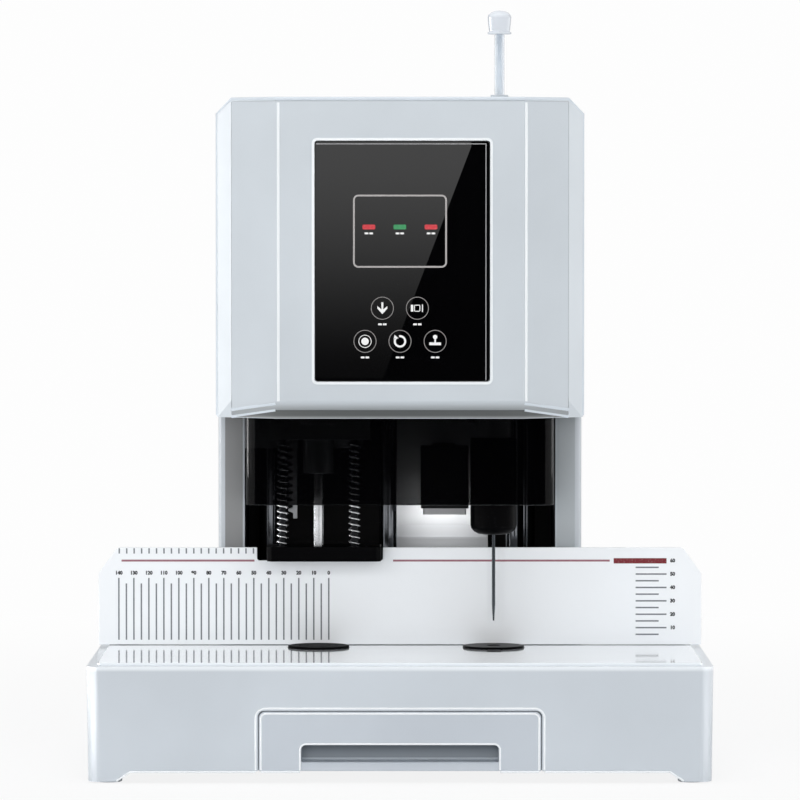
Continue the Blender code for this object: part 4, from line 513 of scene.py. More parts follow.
def dress(
    made: Piece, finish: Finish, node: str, replaces: bool = False
) -> None:
    """Give a piece its finish and let it ride with a node's body.

    Args:
        made: the piece.
        finish: its finish.
        node: the node whose body carries it.
        replaces: whether the piece stands for that node.
    """
    made.data.materials.clear()
    made.data.materials.append(coat(finish))
    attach(made, BODY_OF_NODE[node])
    if replaces:
        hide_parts(node)
    LOG.info("%s, on %s", made.name, node)


def paint_node(node: str, finish: Finish) -> None:
    """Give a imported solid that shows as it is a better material.

    Args:
        node: the solid's name.
        finish: its finish.
    """
    solid = frame["nodes"][node]
    if not solid.material_slots:
        solid.data.materials.append(None)
    for held in solid.material_slots:
        held.material = coat(finish)
    LOG.info("%s, as packed", node)


def roomy(edge: bmesh.types.BMEdge, room: float) -> bool:
    """Tell whether an edge and the edges that meet it are long enough to be eased."""
    near = {other for vert in edge.verts for other in vert.link_edges}
    return edge.calc_length() > room and all(other.calc_length() > room * 0.7 for other in near)


def eased(node: str, finish: Finish, ease: Ease, segments: int = 2, spaced: bool = False) -> None:
    """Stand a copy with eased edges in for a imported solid.

    Args:
        node: the solid's name.
        finish: its finish.
        ease: how far its edges are eased.
        segments: how many faces each eased edge has.
        spaced: whether edges beside very short ones are left as they are.
    """
    bm = bmesh.new()
    bm.from_mesh(frame["nodes"][node].data)
    bmesh.ops.remove_doubles(bm, verts=bm.verts, dist=WELD)
    bmesh.ops.dissolve_limit(bm, angle_limit=math.radians(1.0), verts=bm.verts, edges=bm.edges)
    bmesh.ops.recalc_face_normals(bm, faces=bm.faces)
    turn = math.radians(EASED_TURN)
    edges = [edge for edge in bm.edges if edge.is_manifold and edge.calc_face_angle(0.0) > turn]
    if spaced:
        edges = [edge for edge in edges if roomy(edge, 3.0 * ease.value)]
    bmesh.ops.bevel(
        bm, geom=edges, offset=ease.value, segments=segments, profile=0.5, affect="EDGES",
        clamp_overlap=not spaced,
    )
    made = piece(f"{node}_finished", bm, CRISP_TURN)
    made.modifiers.new("weighted", "WEIGHTED_NORMAL").keep_sharp = True
    dress(baked(made, f"{node}_finished_piece"), finish, node, replaces=True)


def turned(node: str, finish: Finish, profile: Sequence[Pair], sides: int = 96) -> None:
    """Turn a profile about an upright node's axis and stand it in for the node.

    Args:
        node: the node.
        finish: its finish.
        profile: (radius, height) points down the outer side, from the axis to the axis.
        sides: how many sides the turning has.
    """
    bm = bmesh.new()
    points = [bm.verts.new((radius, 0.0, height)) for radius, height in profile]
    edges = [bm.edges.new(pair) for pair in zip(points, points[1:])]
    bmesh.ops.spin(
        bm, geom=points + edges, axis=(0.0, 0.0, 1.0), cent=(0.0, 0.0, 0.0), angle=math.tau,
        steps=sides, use_merge=True,
    )
    bmesh.ops.remove_doubles(bm, verts=bm.verts, dist=WELD / 4)
    bmesh.ops.recalc_face_normals(bm, faces=bm.faces)
    bmesh.ops.translate(bm, verts=bm.verts, vec=(*Box(node).middle.xy, 0.0))
    dress(piece(f"{node}_finished", bm), finish, node, replaces=True)


def stood(
    name: str, curve: bpy.types.Curve, at: float, depth: float, facing: Facing, centre: Pair = (0.0, 0.0)
) -> Piece:
    """Stand a flat curve or text up the way that it faces, as a plain mesh.

    Args:
        name: the piece's name.
        curve: the flat curve.
        at: where its back lies.
        depth: its thickness.
        facing: the way it faces.
        centre: where its middle goes.

    Returns:
        The piece.
    """
    helper = linked(f"{name}_outline", curve)
    place = (*centre, at + depth / 2)
    if facing is not Facing.TOP:
        place = (centre[0], at + (depth if facing is Facing.BACK else -depth) / 2, centre[1])
    about_x, about_z = facing.value
    turn = Matrix.Rotation(about_z, 4, "Z") @ Matrix.Rotation(about_x, 4, "X")
    helper.matrix_world = Matrix.Translation(place) @ turn
    return baked(helper, name)


def line(curve: bpy.types.Curve, points: Sequence[Point], closed: bool) -> None:
    """Add a line of straight parts to a curve.

    Args:
        curve: the curve.
        points: the line's points.
        closed: whether the line is closed.
    """
    spline = curve.splines.new("POLY")
    spline.points.add(len(points) - 1)
    for point, place in zip(spline.points, points):
        point.co = (*place, 1.0)
    spline.use_cyclic_u = closed


def flat(
    name: str, outlines: Iterable[Outline], at: float, depth: float, facing: Facing = Facing.FRONT
) -> Piece:
    """Make thin flat shapes from outlines, with holes where one lies inside another.

    Args:
        name: the piece's name.
        outlines: closed outlines in (x, z), or (x, y) when it faces the top.
        at: where the shapes' back lies along the way they face.
        depth: how thick they are.
        facing: the way they face.

    Returns:
        The piece.
    """
    curve = bpy.data.curves.new(name, "CURVE")
    curve.dimensions, curve.fill_mode, curve.extrude = "2D", "BOTH", depth / 2
    for outline in outlines:
        line(curve, [(*point, 0.0) for point in outline], True)
    return stood(name, curve, at, depth, facing)


def words(name: str, text: str, height: float, centre: Pair, at: float, depth: float) -> Piece:
    """Make printed figures that face the front.

    Args:
        name: the piece's name.
        text: the figures.
        height: their nominal height.
        centre: the middle of the print.
        at: where the print's back lies.
        depth: how thick the print is.

    Returns:
        The piece.
    """
    font = bpy.data.curves.new(name, "FONT")
    font.body, font.size, font.align_x, font.align_y = text, height, "CENTER", "CENTER"
    font.extrude, font.offset, font.resolution_u = depth / 2, height * 0.06, 3
    return stood(name, font, at, depth, Facing.FRONT, centre)


def beads(name: str, paths: Iterable[Sequence[Point]], radius: float) -> Piece:
    """Draw round beads along paths, with closed ends.

    Args:
        name: the piece's name.
        paths: the beads' middle lines.
        radius: a bead's radius.

    Returns:
        The piece.
    """
    curve = bpy.data.curves.new(name, "CURVE")
    curve.dimensions, curve.bevel_depth, curve.bevel_resolution = "3D", radius, 3
    curve.use_fill_caps = True
    for path in paths:
        line(curve, path, False)
    return baked(linked(f"{name}_path", curve), name)


def ribbon(name: str, rows: Sequence[Sequence[Point]], deep: float = 0.001) -> Piece:
    """Stretch a thin band over rows of points, with its back further in.

    Args:
        name: the piece's name.
        rows: the front's rows of points, from the lowest up.
        deep: how far behind the front the band's back lies.

    Returns:
        The piece.
    """
    bm = bmesh.new()
    fronts = [[bm.verts.new(point) for point in row] for row in rows]
    backs = [[bm.verts.new((x, y + deep, z)) for x, y, z in row] for row in rows]
    loop = fronts + backs[::-1]
    for low, high in zip(loop, loop[1:] + loop[:1]):
        for corners in zip(low, low[1:], high[1:], high):
            bm.faces.new(corners)
    for end in (0, -1):
        bm.faces.new([row[end] for row in loop])
    bmesh.ops.recalc_face_normals(bm, faces=bm.faces)
    return piece(name, bm)


def joined(name: str, parts: Iterable[Piece]) -> Piece:
    """Join plain pieces into one.

    Args:
        name: the joined piece's name.
        parts: the pieces, which are removed.

    Returns:
        The joined piece.
    """
    bm = bmesh.new()
    for part in parts:
        bm.from_mesh(part.data)
        bpy.data.objects.remove(part, do_unlink=True)
    return piece(name, bm)


def arc(centre: Pair, radius: float, start: float, sweep: float, steps: int) -> Outline:
    """Give the points along an arc, both its ends included.

    Args:
        centre: its middle.
        radius: its radius.
        start: the angle at which it starts.
        sweep: the angle that it covers.
        steps: how many parts it has.

    Returns:
        The points.
    """
    x, z = centre
    angles = [start + sweep * step / steps for step in range(steps + 1)]
    return [(x + radius * math.cos(angle), z + radius * math.sin(angle)) for angle in angles]


def ring(centre: Pair, radius: float, sides: int = 48) -> Outline:
    """Give a circle as an outline."""
    return arc(centre, radius, 0.0, math.tau, sides)[:-1]


def slab(centre: Pair, width: float, height: float, radius: float = 0.0) -> Outline:
    """Give a rectangle as an outline, its corners rounded when it has a radius.

    Args:
        centre: its middle.
        width: its full width.
        height: its full height.
        radius: the corners' radius.

    Returns:
        The outline.
    """
    points: Outline = []
    for number, (across, up) in enumerate(((1, 1), (-1, 1), (-1, -1), (1, -1))):
        middle = (centre[0] + across * (width / 2 - radius), centre[1] + up * (height / 2 - radius))
        corner = arc(middle, radius, number * QUARTER, QUARTER, CORNER_STEPS)
        points += corner if radius else corner[:1]
    return points


def band(centre: Pair, width: float, height: float, radius: float, wide: float) -> list[Outline]:
    """Give a rounded frame as its outer and inner outline.

    Args:
        centre: its middle.
        width: its full width.
        height: its full height.
        radius: its outer corner radius.
        wide: how wide the frame's line is.

    Returns:
        The two outlines.
    """
    inner = slab(centre, width - 2 * wide, height - 2 * wide, max(radius - wide, 0.0002))
    return [slab(centre, width, height, radius), inner]


def place_at(place: Sequence[float], axis: str = "Z", degrees: float = 0.0) -> Matrix:
    """Give the matrix that turns a pattern about one axis and moves it."""
    return Matrix.Translation(place) @ Matrix.Rotation(math.radians(degrees), 4, axis)


class Pattern(Tree):
    """A Geometry Nodes tree with named inputs, made once and run for each piece."""

    def __init__(self, name: str) -> None:
        """Make an empty tree.

        Args:
            name: its name.
        """
        super().__init__(bpy.data.node_groups.new(name, "GeometryNodeTree"))
        self.tree.interface.new_socket("Geometry", in_out="OUTPUT", socket_type="NodeSocketGeometry")
        self.sockets: dict[str, str] = {}
        self.given = self.tree.nodes.new("NodeGroupInput")
        self.result = self.tree.nodes.new("NodeGroupOutput")

    def value(self, name: str, kind: str = "Float") -> Signal:
        """Add a named input.

        Args:
            name: its name.
            kind: its type.

        Returns:
            The input inside the tree.
        """
        made = self.tree.interface.new_socket(name, in_out="INPUT", socket_type=f"NodeSocket{kind}")
        self.sockets[name] = made.identifier
        return Signal(self, self.given.outputs[name])

    def spread(self, points: Signal, shape: Signal) -> "Pattern":
        """Set a shape on points and end the tree."""
        return self.close(
            self.node("GeometryNodeInstanceOnPoints", None, {"Points": points, "Instance": shape})
        )

    def close(self, shape: Signal) -> "Pattern":
        """End the tree: the instances are made real and take the material.

        Args:
            shape: the shape to give out.

        Returns:
            This pattern.
        """
        real = self.node("GeometryNodeRealizeInstances", None, {"Geometry": shape})
        paint = self.value("Material", "Material")
        painted = self.node("GeometryNodeSetMaterial", None, {"Geometry": real, "Material": paint})
        self.tree.links.new(painted.socket, self.result.inputs[0])
        return self

    def run(self, name: str, finish: Finish, place: Matrix, **values: float | Sequence[float]) -> Piece:
        """Run the tree and keep the result as a plain mesh.

        Args:
            name: the piece's name.
            finish: the finish that the tree sets.
            place: where the result goes.
            values: the tree's inputs, with _ for a space.

        Returns:
            The plain piece.
        """
        helper = linked(f"{name}_pattern", bpy.data.meshes.new(f"{name}_seed"))
        helper.matrix_world = place
        modifier = helper.modifiers.new("pattern", "NODES")
        modifier.node_group = self.tree
        modifier[self.sockets["Material"]] = coat(finish)
        for key, held in values.items():
            modifier[self.sockets[key.replace("_", " ")]] = held
        return baked(helper, name)


@cache
def bar_pattern() -> Pattern:
    """Build the tree of a row of equal bars.

    Returns:
        The tree.
    """
    tree = Pattern("repeated bars")
    line_inputs = {"Count": tree.value("Count", "Int"), "Offset": tree.value("Pitch", "Vector")}
    row = tree.node("GeometryNodeMeshLine", {"mode": "OFFSET"}, line_inputs)
    bar = tree.node("GeometryNodeMeshCube", None, {"Size": tree.value("Bar Size", "Vector")})
    return tree.spread(row, bar)


@cache
def screw_pattern() -> Pattern:
    """Build the tree of a grid of round screw heads, each with a hexagonal socket.

    Returns:
        The tree.
    """
    tree = Pattern("screw heads")
    radius, height = tree.value("Head Radius"), tree.value("Head Height")
    head = tree.node(
        "GeometryNodeMeshCone",
        {"fill_type": "NGON"},
        {"Vertices": 20, "Radius Top": radius * 0.84, "Radius Bottom": radius, "Depth": height},
    )
    hole = tree.node(
        "GeometryNodeMeshCylinder",
        {"fill_type": "NGON"},
        {"Vertices": 6, "Radius": radius * 0.5, "Depth": height},
    )
    lift = tree.node("ShaderNodeCombineXYZ", None, {"Z": height})
    hole = tree.node("GeometryNodeTransform", None, {0: hole, "Translation": lift})
    shapes = {"Mesh 1": head, "Mesh 2": hole}
    cut = tree.node("GeometryNodeMeshBoolean", {"operation": "DIFFERENCE"}, shapes)
    sizes = {"Size X": tree.value("Spread X"), "Size Y": tree.value("Spread Y")}
    counts = {"Vertices X": tree.value("Columns", "Int"), "Vertices Y": tree.value("Rows", "Int")}
    return tree.spread(tree.node("GeometryNodeMeshGrid", None, sizes | counts), cut)


@cache
def coil_pattern() -> Pattern:
    """Build the tree of a round wire wound along the Z axis.

    Returns:
        The tree.
    """
    tree = Pattern("wound wire")
    radius = tree.value("Coil Radius")
    path = tree.node(
        "GeometryNodeCurveSpiral",
        None,
        {
            "Resolution": tree.value("Steps", "Int"), "Rotations": tree.value("Turns"),
            "Start Radius": radius, "End Radius": radius, "Height": tree.value("Height"),
        },
    )
    round_inputs = {"Resolution": 8, "Radius": tree.value("Wire Radius")}
    wire = tree.node("GeometryNodeCurvePrimitiveCircle", None, round_inputs)
    wound = {"Curve": path, "Profile Curve": wire, "Fill Caps": True}
    return tree.close(tree.node("GeometryNodeCurveToMesh", None, wound))


def tone(red: float, green: float, blue: float) -> Colour:
    """Give the linear colour of a shade written from 0 to 255."""
    shares = (red / 255, green / 255, blue / 255)
    return tuple(s / 12.92 if s <= 0.04045 else ((s + 0.055) / 1.055) ** 2.4 for s in shares)


# The base's paint lightens towards its top as a painted highlight on its rounded top edge.
BASE_PAINT = Paint(
    "base_paint", tone(201, 208, 215), top_highlight_colour=tone(232, 237, 242), top_highlight_heights=(0.0706, 0.0736)
)
HEAD_PAINT = Paint("head_paint", tone(204, 211, 217))
# Bright beads and the lip round the glass: painted highlights on edges and creases.
HIGHLIGHT_BEAD_PAINT = Paint("painted_highlight", tone(240, 244, 247), roughness=0.2, drift=0.01, coat=0.6)
DRAWER_PAINT = Paint("drawer_paint", tone(194, 201, 209), peel_depth=0.00002)
CHEEK_PAINT = Paint("cheek_paint", tone(196, 202, 208))
# Painted shade on the cheeks' front faces, darker on the left, which lies in more shade.
CHEEK_SHADE_LEFT = Paint("cheek_panel_left", tone(150, 151, 152), roughness=0.5, specular=0.2)
CHEEK_SHADE_RIGHT = Paint("cheek_panel_right", tone(184, 190, 194), roughness=0.5, specular=0.2)
FENCE_PAINT = Paint("fence_paint", tone(246, 249, 252), roughness=0.22, drift=0.01, coat=0.4)
TABLE_SHEET = Paint(
    "table_sheet", tone(238, 243, 248), roughness=0.12, peel_depth=0.000004, drift=0.01, coat=1.0
)
# The centre cover and its hem darken towards the foot: painted shade.
COVER_SHADED_WHITE = PaintedShade("cover_white_painted_shade", tone(188, 190, 193), tone(236, 238, 240), (0.142, 0.158))
# A pale strip in the gap under the worktable's edge: painted light over the gap's shadow.
TABLE_GAP_LIGHT = Paint("table_gap_light", tone(232, 236, 240), roughness=0.5, drift=0.01)
# Pale matt beads that draw the head's edge highlights: painted highlight.
EDGE_HIGHLIGHT_PAINT = Paint("edge_highlight_bead", tone(216, 224, 232), roughness=0.5, specular=0.2)
# Painted shade round the head's foot: the band darkens downwards and the strip under it is darker still.
FOOT_SHADE = PaintedShade("head_foot", tone(150, 155, 158), tone(198, 205, 211), (0.236, 0.242))
FOOT_SHADE_STRIP = PaintedShade("head_shade_strip", tone(122, 125, 126), tone(80, 83, 84), (0.2308, 0.2322))
# Grey sheet in the cover's seam: painted shade.
SEAM_SHADE_FILL = Moulding("seam_shade_fill", tone(184, 189, 194), roughness=0.6, specular=0.2)
# A mid-grey sheet in the drawer's seam: painted shade.
DRAWER_SEAM_SHADE = Moulding("drawer_seam", tone(124, 130, 136), roughness=0.6, specular=0.1)
# Painted shade on the finger slot's back, darker towards its top.
SLOT_SHADE = PaintedShade("slot_shade", tone(146, 153, 160), tone(92, 100, 108), (0.015, 0.0235))
BLACK_POWDER = Paint(
    "black_powder", tone(13, 13, 14), roughness=0.5, peel=1900.0, peel_depth=0.00003, specular=0.12
)
BLACK_ANODISED = Paint(
    "black_anodised", tone(4, 4, 5), roughness=0.34, peel_depth=0.000006, specular=0.02
)
HEAD_COATING = Paint("head_coating", tone(5, 5, 6), roughness=0.32, peel_depth=0.00002, specular=0.02)
BLACK_GLASS = Paint(
    "black_glass", tone(4, 4, 5), roughness=0.06, peel_depth=0.0, drift=0.0, coat=1.0,
    coat_roughness=0.0, specular=0.0,
)
PAD_NYLON = Moulding("pad_nylon", tone(9, 9, 10), roughness=0.5, bloom=0.0, specular=0.01)
BLACK_MOULDING = Moulding("black_moulding", tone(14, 14, 15), roughness=0.42, specular=0.2)
GREY_LENS = Moulding("grey_lens", tone(196, 197, 200), roughness=0.3, bloom=0.1)
FOOT_RUBBER = Moulding("foot_rubber", tone(182, 186, 190), roughness=0.75, grain_depth=0.00006)
BELT_RUBBER = Moulding("belt_rubber", tone(28, 28, 28), roughness=0.6, grain_depth=0.00004)
BOARD_GREEN = Moulding("board_green", tone(22, 84, 52), roughness=0.3, grain=700.0)
CONNECTOR_WHITE = Moulding("connector_white", tone(222, 220, 208), roughness=0.4)
CAPACITOR_BLUE = Moulding("capacitor_sleeve", tone(38, 46, 66), roughness=0.3)
ROCKER_GLOSS = Moulding("rocker_gloss", tone(20, 20, 21), roughness=0.2, grain_depth=0.000004)
GUIDE_MOULDING = Moulding("guide_moulding", tone(206, 212, 218))
BIT_STEEL = Metal("bit_steel", tone(216, 218, 221), roughness=0.2, lay=Lay.ALONG_Z)
# Chrome darkened below its real tone: painted shade for the columns in the dark throat.
SHADED_CHROME = Metal("ground_chrome_painted_shade", tone(128, 131, 136), roughness=0.14, lay=Lay.ALONG_Z)
DARK_ROD = Metal("oiled_rod", tone(34, 35, 37), roughness=0.22, lay=Lay.ALONG_Z)
SPRING_WIRE = Metal("spring_wire", tone(240, 241, 243), roughness=0.24, tarnish=0.05)
ZINC = Metal("zinc_plate", tone(186, 189, 192), roughness=0.34, tarnish=0.16, depth=0.000006)
NEEDLE_STEEL = Metal("needle_steel", tone(64, 68, 72), roughness=0.24, lay=Lay.ALONG_Z)
ALUMINIUM = Metal("milled_aluminium", tone(206, 208, 211), roughness=0.32, lay=Lay.ALONG_Y)
BRONZE = Metal("turned_bronze", tone(196, 152, 92), roughness=0.3, lay=Lay.ALONG_Z)
MOTOR_CAN = Metal("motor_can", tone(168, 171, 176), roughness=0.3, lay=Lay.ALONG_Z)
LAMINATIONS = Metal("lamination", tone(92, 90, 90), roughness=0.45, lay=Lay.ALONG_X, depth=0.00003)
COPPER = Metal("copper_wire", tone(206, 112, 62), roughness=0.28, tarnish=0.2)
SCREW_STEEL = Metal("screw_steel", tone(150, 153, 157), roughness=0.3)
BRASS_PIN = Metal("contact_pin", tone(208, 188, 130), roughness=0.22)
SMOKED = Clear("smoked_sheet", tone(3, 3, 4), alpha=0.76, roughness=0.0, specular=0.16)
NYLON_TUBE = Clear("nylon_tube", tone(220, 230, 240), alpha=0.38, roughness=0.12, haze=0.1)
MILKY_CAP = Clear("milky_cap", tone(226, 231, 238), alpha=0.85, roughness=0.2)
SCALE_INK = Ink("scale_ink", tone(112, 116, 122))
FIGURE_INK = Ink("figure_ink", tone(14, 16, 20))
RED_INK = Ink("red_ink", tone(150, 98, 108))
DEEP_RED_INK = Ink("deep_red_ink", tone(112, 14, 28))
PANEL_INK = Ink("panel_ink", tone(172, 168, 167))
RING_INK = Ink("ring_ink", tone(128, 125, 124))
# White print; its faint glow is painted light, for the marks are no lamps.
MARK_INK = Ink("mark_ink", tone(232, 232, 232), glow=0.08)
RED_LAMP = Ink("red_lamp", tone(190, 44, 54), roughness=0.3, glow=0.12)
GREEN_LAMP = Ink("green_lamp", tone(44, 134, 82), roughness=0.3, glow=0.12)
# Grey line on the glass's edge: painted reflection of its polished bevel.
BEVEL_REFLECTION_INK = Ink("bevel_painted_reflection", tone(150, 150, 152), roughness=0.2)


def screw_heads(
    name: str, node: str, place: Matrix, spread: Pair, grid: tuple[int, int], size: Pair = (0.0026, 0.0014),
    finish: Finish = SCREW_STEEL,
) -> None:
    """Set a grid of round heads on a face.

    Args:
        name: the piece's name.
        node: the node that they hold.
        place: the middle of the grid, with +Z out of the face.
        spread: the grid's size.
        grid: how many columns and rows it has.
        size: a head's radius and height.
        finish: their finish.
    """
    made = screw_pattern().run(
        name, finish, place, Head_Radius=size[0], Head_Height=size[1], Spread_X=spread[0],
        Spread_Y=spread[1], Columns=grid[0], Rows=grid[1],
    )
    dress(made, finish, node)


def bar_row(
    name: str, node: str, finish: Finish, first: Point, pitch: Point, count: int, size: Point,
    slot: str | None = None,
) -> None:
    """Lay a row of equal bars.

    Args:
        name: the piece's name.
        node: the node that carries them.
        finish: their finish.
        first: the middle of the first bar.
        pitch: from one bar to the next.
        count: how many there are.
        size: one bar's size.
        slot: a slot name from the record; not used.
    """
    made = bar_pattern().run(name, finish, place_at(first), Count=count, Pitch=pitch, Bar_Size=size)
    dress(made, finish, node)


def coil(
    name: str, finish: Finish, node: str, wire: float, turns: float, steps: int, proud: float = 0.0
) -> Piece:
    """Wind a round wire up an upright node's place.

    Args:
        name: the piece's name.
        finish: its finish.
        node: the node.
        wire: the wire's radius.
        turns: how many turns it makes.
        steps: how many parts a turn has.
        proud: how far the wire stands out of the node's box.

    Returns:
        The piece.
    """
    box = Box(node)
    return coil_pattern().run(
        name, finish, place_at((*box.middle.xy, box.low.z + wire)), Steps=steps, Turns=turns,
        Coil_Radius=box.size.x / 2 - wire + proud, Height=box.size.z - 2 * wire, Wire_Radius=wire,
    )


@dataclass
class BaseCase:
    """The base casing with its feet, its bottom plate and the chip drawer."""

    feet: tuple[str, ...] = ("foot_front_left", "foot_front_right", "foot_rear_left", "foot_rear_right")
    foot_sides: int = 48
    # Radii are shares of the foot's, and heights count from its top or its bottom.
    foot_crown: tuple[Pair, ...] = ((0.0, 0.0), (0.97, 0.0), (1.0, -0.0004))
    foot_tread: tuple[Pair, ...] = (
        (0.96, 0.0005), (0.9, 0.0), (0.66, 0.0), (0.62, 0.0006), (0.46, 0.0006), (0.42, 0.0), (0.0, 0.0),
    )
    screw_share: float = 0.9
    screw_size: Pair = (0.0026, 0.0009)
    bead_radius: float = 0.0007
    bead_sunk: float = 0.0004
    lip_drop: float = 0.0004
    base_half: float = 0.200
    base_top: float = 0.0743
    skirt: float = 0.0008
    foot_length: float = 0.020
    foot_slant: float = 0.008
    seam: float = 0.0006
    seam_depth: float = 0.0016
    seam_shade_fill: float = 0.001
    corner: float = 0.004
    slot_half: float = 0.063
    slot_levels: Pair = (0.0148, 0.0243)
    slot_corner: float = 0.003
    slot_wall: float = 0.0015
    shade_corner: float = 0.0004
    table_corner: float = 0.002
    table_line: float = 0.005
    table_inset: float = 0.0004

    def build(self) -> None:
        """Make and dress every piece of the base."""
        eased("base_shell", BASE_PAINT, Ease.BASE, spaced=True)
        eased("base_plate", ZINC, Ease.THIN, 1)
        eased("drawer_front", DRAWER_PAINT, Ease.DRAWER, 3)
        paint_node("drawer_tray", ZINC)
        plate = Box("base_plate")
        screw_heads(
            "base_plate_screws", "base_plate", place_at((0.0, plate.middle.y, plate.low.z), "X", 180.0),
            tuple(plate.size.xy * self.screw_share), (4, 3), self.screw_size,
        )
        for node in self.feet:
            self._foot(node)
        self._drawer_lines()
        self._lower_lines()
        self._table_bed()

    def _foot(self, node: str) -> None:
        """Turn a rubber foot with a tread groove.

        Args:
            node: the foot's node.
        """
        box = Box(node)
        ends = ((self.foot_crown, box.high.z), (self.foot_tread, box.low.z))
        profile = [(box.size.x / 2 * share, end + up) for shares, end in ends for share, up in shares]
        turned(node, FOOT_RUBBER, profile, self.foot_sides)

    @staticmethod
    def _doorway(half: float, low: float, high: float, radius: float) -> Outline:
        """Give the line up one side of a doorway, over it and down the other side.

        Args:
            half: half its width.
            low: its lower end.
            high: its top.
            radius: its upper corners' radius.

        Returns:
            The line's points in (x, z).
        """
        right = [(half, low), *arc((half - radius, high - radius), radius, 0.0, QUARTER, 8)]
        return right + [(-x, z) for x, z in reversed(right)]

    def _drawer_lines(self) -> None:
        """Run bright beads, painted highlights, round the drawer's seam and its finger slot, and paint
        shade into the seam and the slot.
        """
        box, rise = Box("drawer_front"), self.bead_radius
        half, top, bottom = box.high.x, box.high.z, box.low.z + rise
        grown = self.seam + 2 * rise
        lines = {
            "drawer_surround": ("base_shell", half + grown, top + grown, self.corner + grown),
            "drawer_bead": ("drawer_front", half - 2 * rise, top - 2 * rise, self.corner - rise),
            "finger_slot_bead": (
                "drawer_front", self.slot_half + rise, self.slot_levels[1] + rise, self.slot_corner + rise,
            ),
        }
        for name, (node, across, upper, radius) in lines.items():
            outline = self._doorway(across, bottom, upper, radius)
            path = [(x, box.low.y + self.bead_sunk, z) for x, z in outline]
            dress(beads(name, [path], rise), HIGHLIGHT_BEAD_PAINT, node)
        over = self.seam + 3 * SUNK
        outer = self._doorway(half + over, bottom, top + over, self.corner)
        inner = self._doorway(half + 2 * SUNK, bottom, top + 2 * SUNK, self.corner - self.seam)
        fill = flat("drawer_seam_fill", [outer + inner[::-1]], box.low.y + self.seam_depth, self.seam_shade_fill)
        dress(fill, DRAWER_SEAM_SHADE, "base_shell")
        low, high = self.slot_levels
        width = 2 * self.slot_half - self.seam
        back = slab((0.0, (low + high) / 2), width, high - low, self.shade_corner)
        shade = flat("finger_slot_back", [back], box.high.y - self.slot_wall + SUNK, 3 * SUNK)
        dress(shade, SLOT_SHADE, "drawer_front")

    def _lower_lines(self) -> None:
        """Run bright beads, painted highlights, along the lower edges of the base and of the drawer."""
        box, rise = Box("drawer_front"), self.bead_radius
        half, edge = box.high.x, box.low.z - self.lip_drop
        heel = self.base_half - self.foot_length
        slant = [(heel + rise, self.skirt + rise), (heel - self.foot_slant, edge)]
        rows = {
            "base_lower_bead": ("base_shell", [*slant, (half + self.seam + 2 * rise, edge)]),
            "drawer_lower_bead": ("drawer_front", [(half - 2 * rise, edge), (self.slot_half + rise, edge)]),
        }
        for name, (node, row) in rows.items():
            depth = box.low.y + self.bead_sunk
            paths = [[(side * x, depth, z) for x, z in row] for side in (-1, 1)]
            dress(beads(name, paths, rise), HIGHLIGHT_BEAD_PAINT, node)

    def _table_bed(self) -> None:
        """Lay a pale strip in the gap under the worktable's edge: painted light where the gap would be in
        shadow.
        """
        box, inset = Box("worktable"), 2 * self.table_inset
        width, deep = box.size.x - inset, box.size.y - inset
        outlines = band(box.middle.xy, width, deep, self.table_corner, self.table_line)
        thick = box.low.z - self.base_top + SUNK
        strip = flat("table_gap_light", outlines, self.base_top - SUNK / 2, thick, Facing.TOP)
        dress(strip, TABLE_GAP_LIGHT, "base_shell")


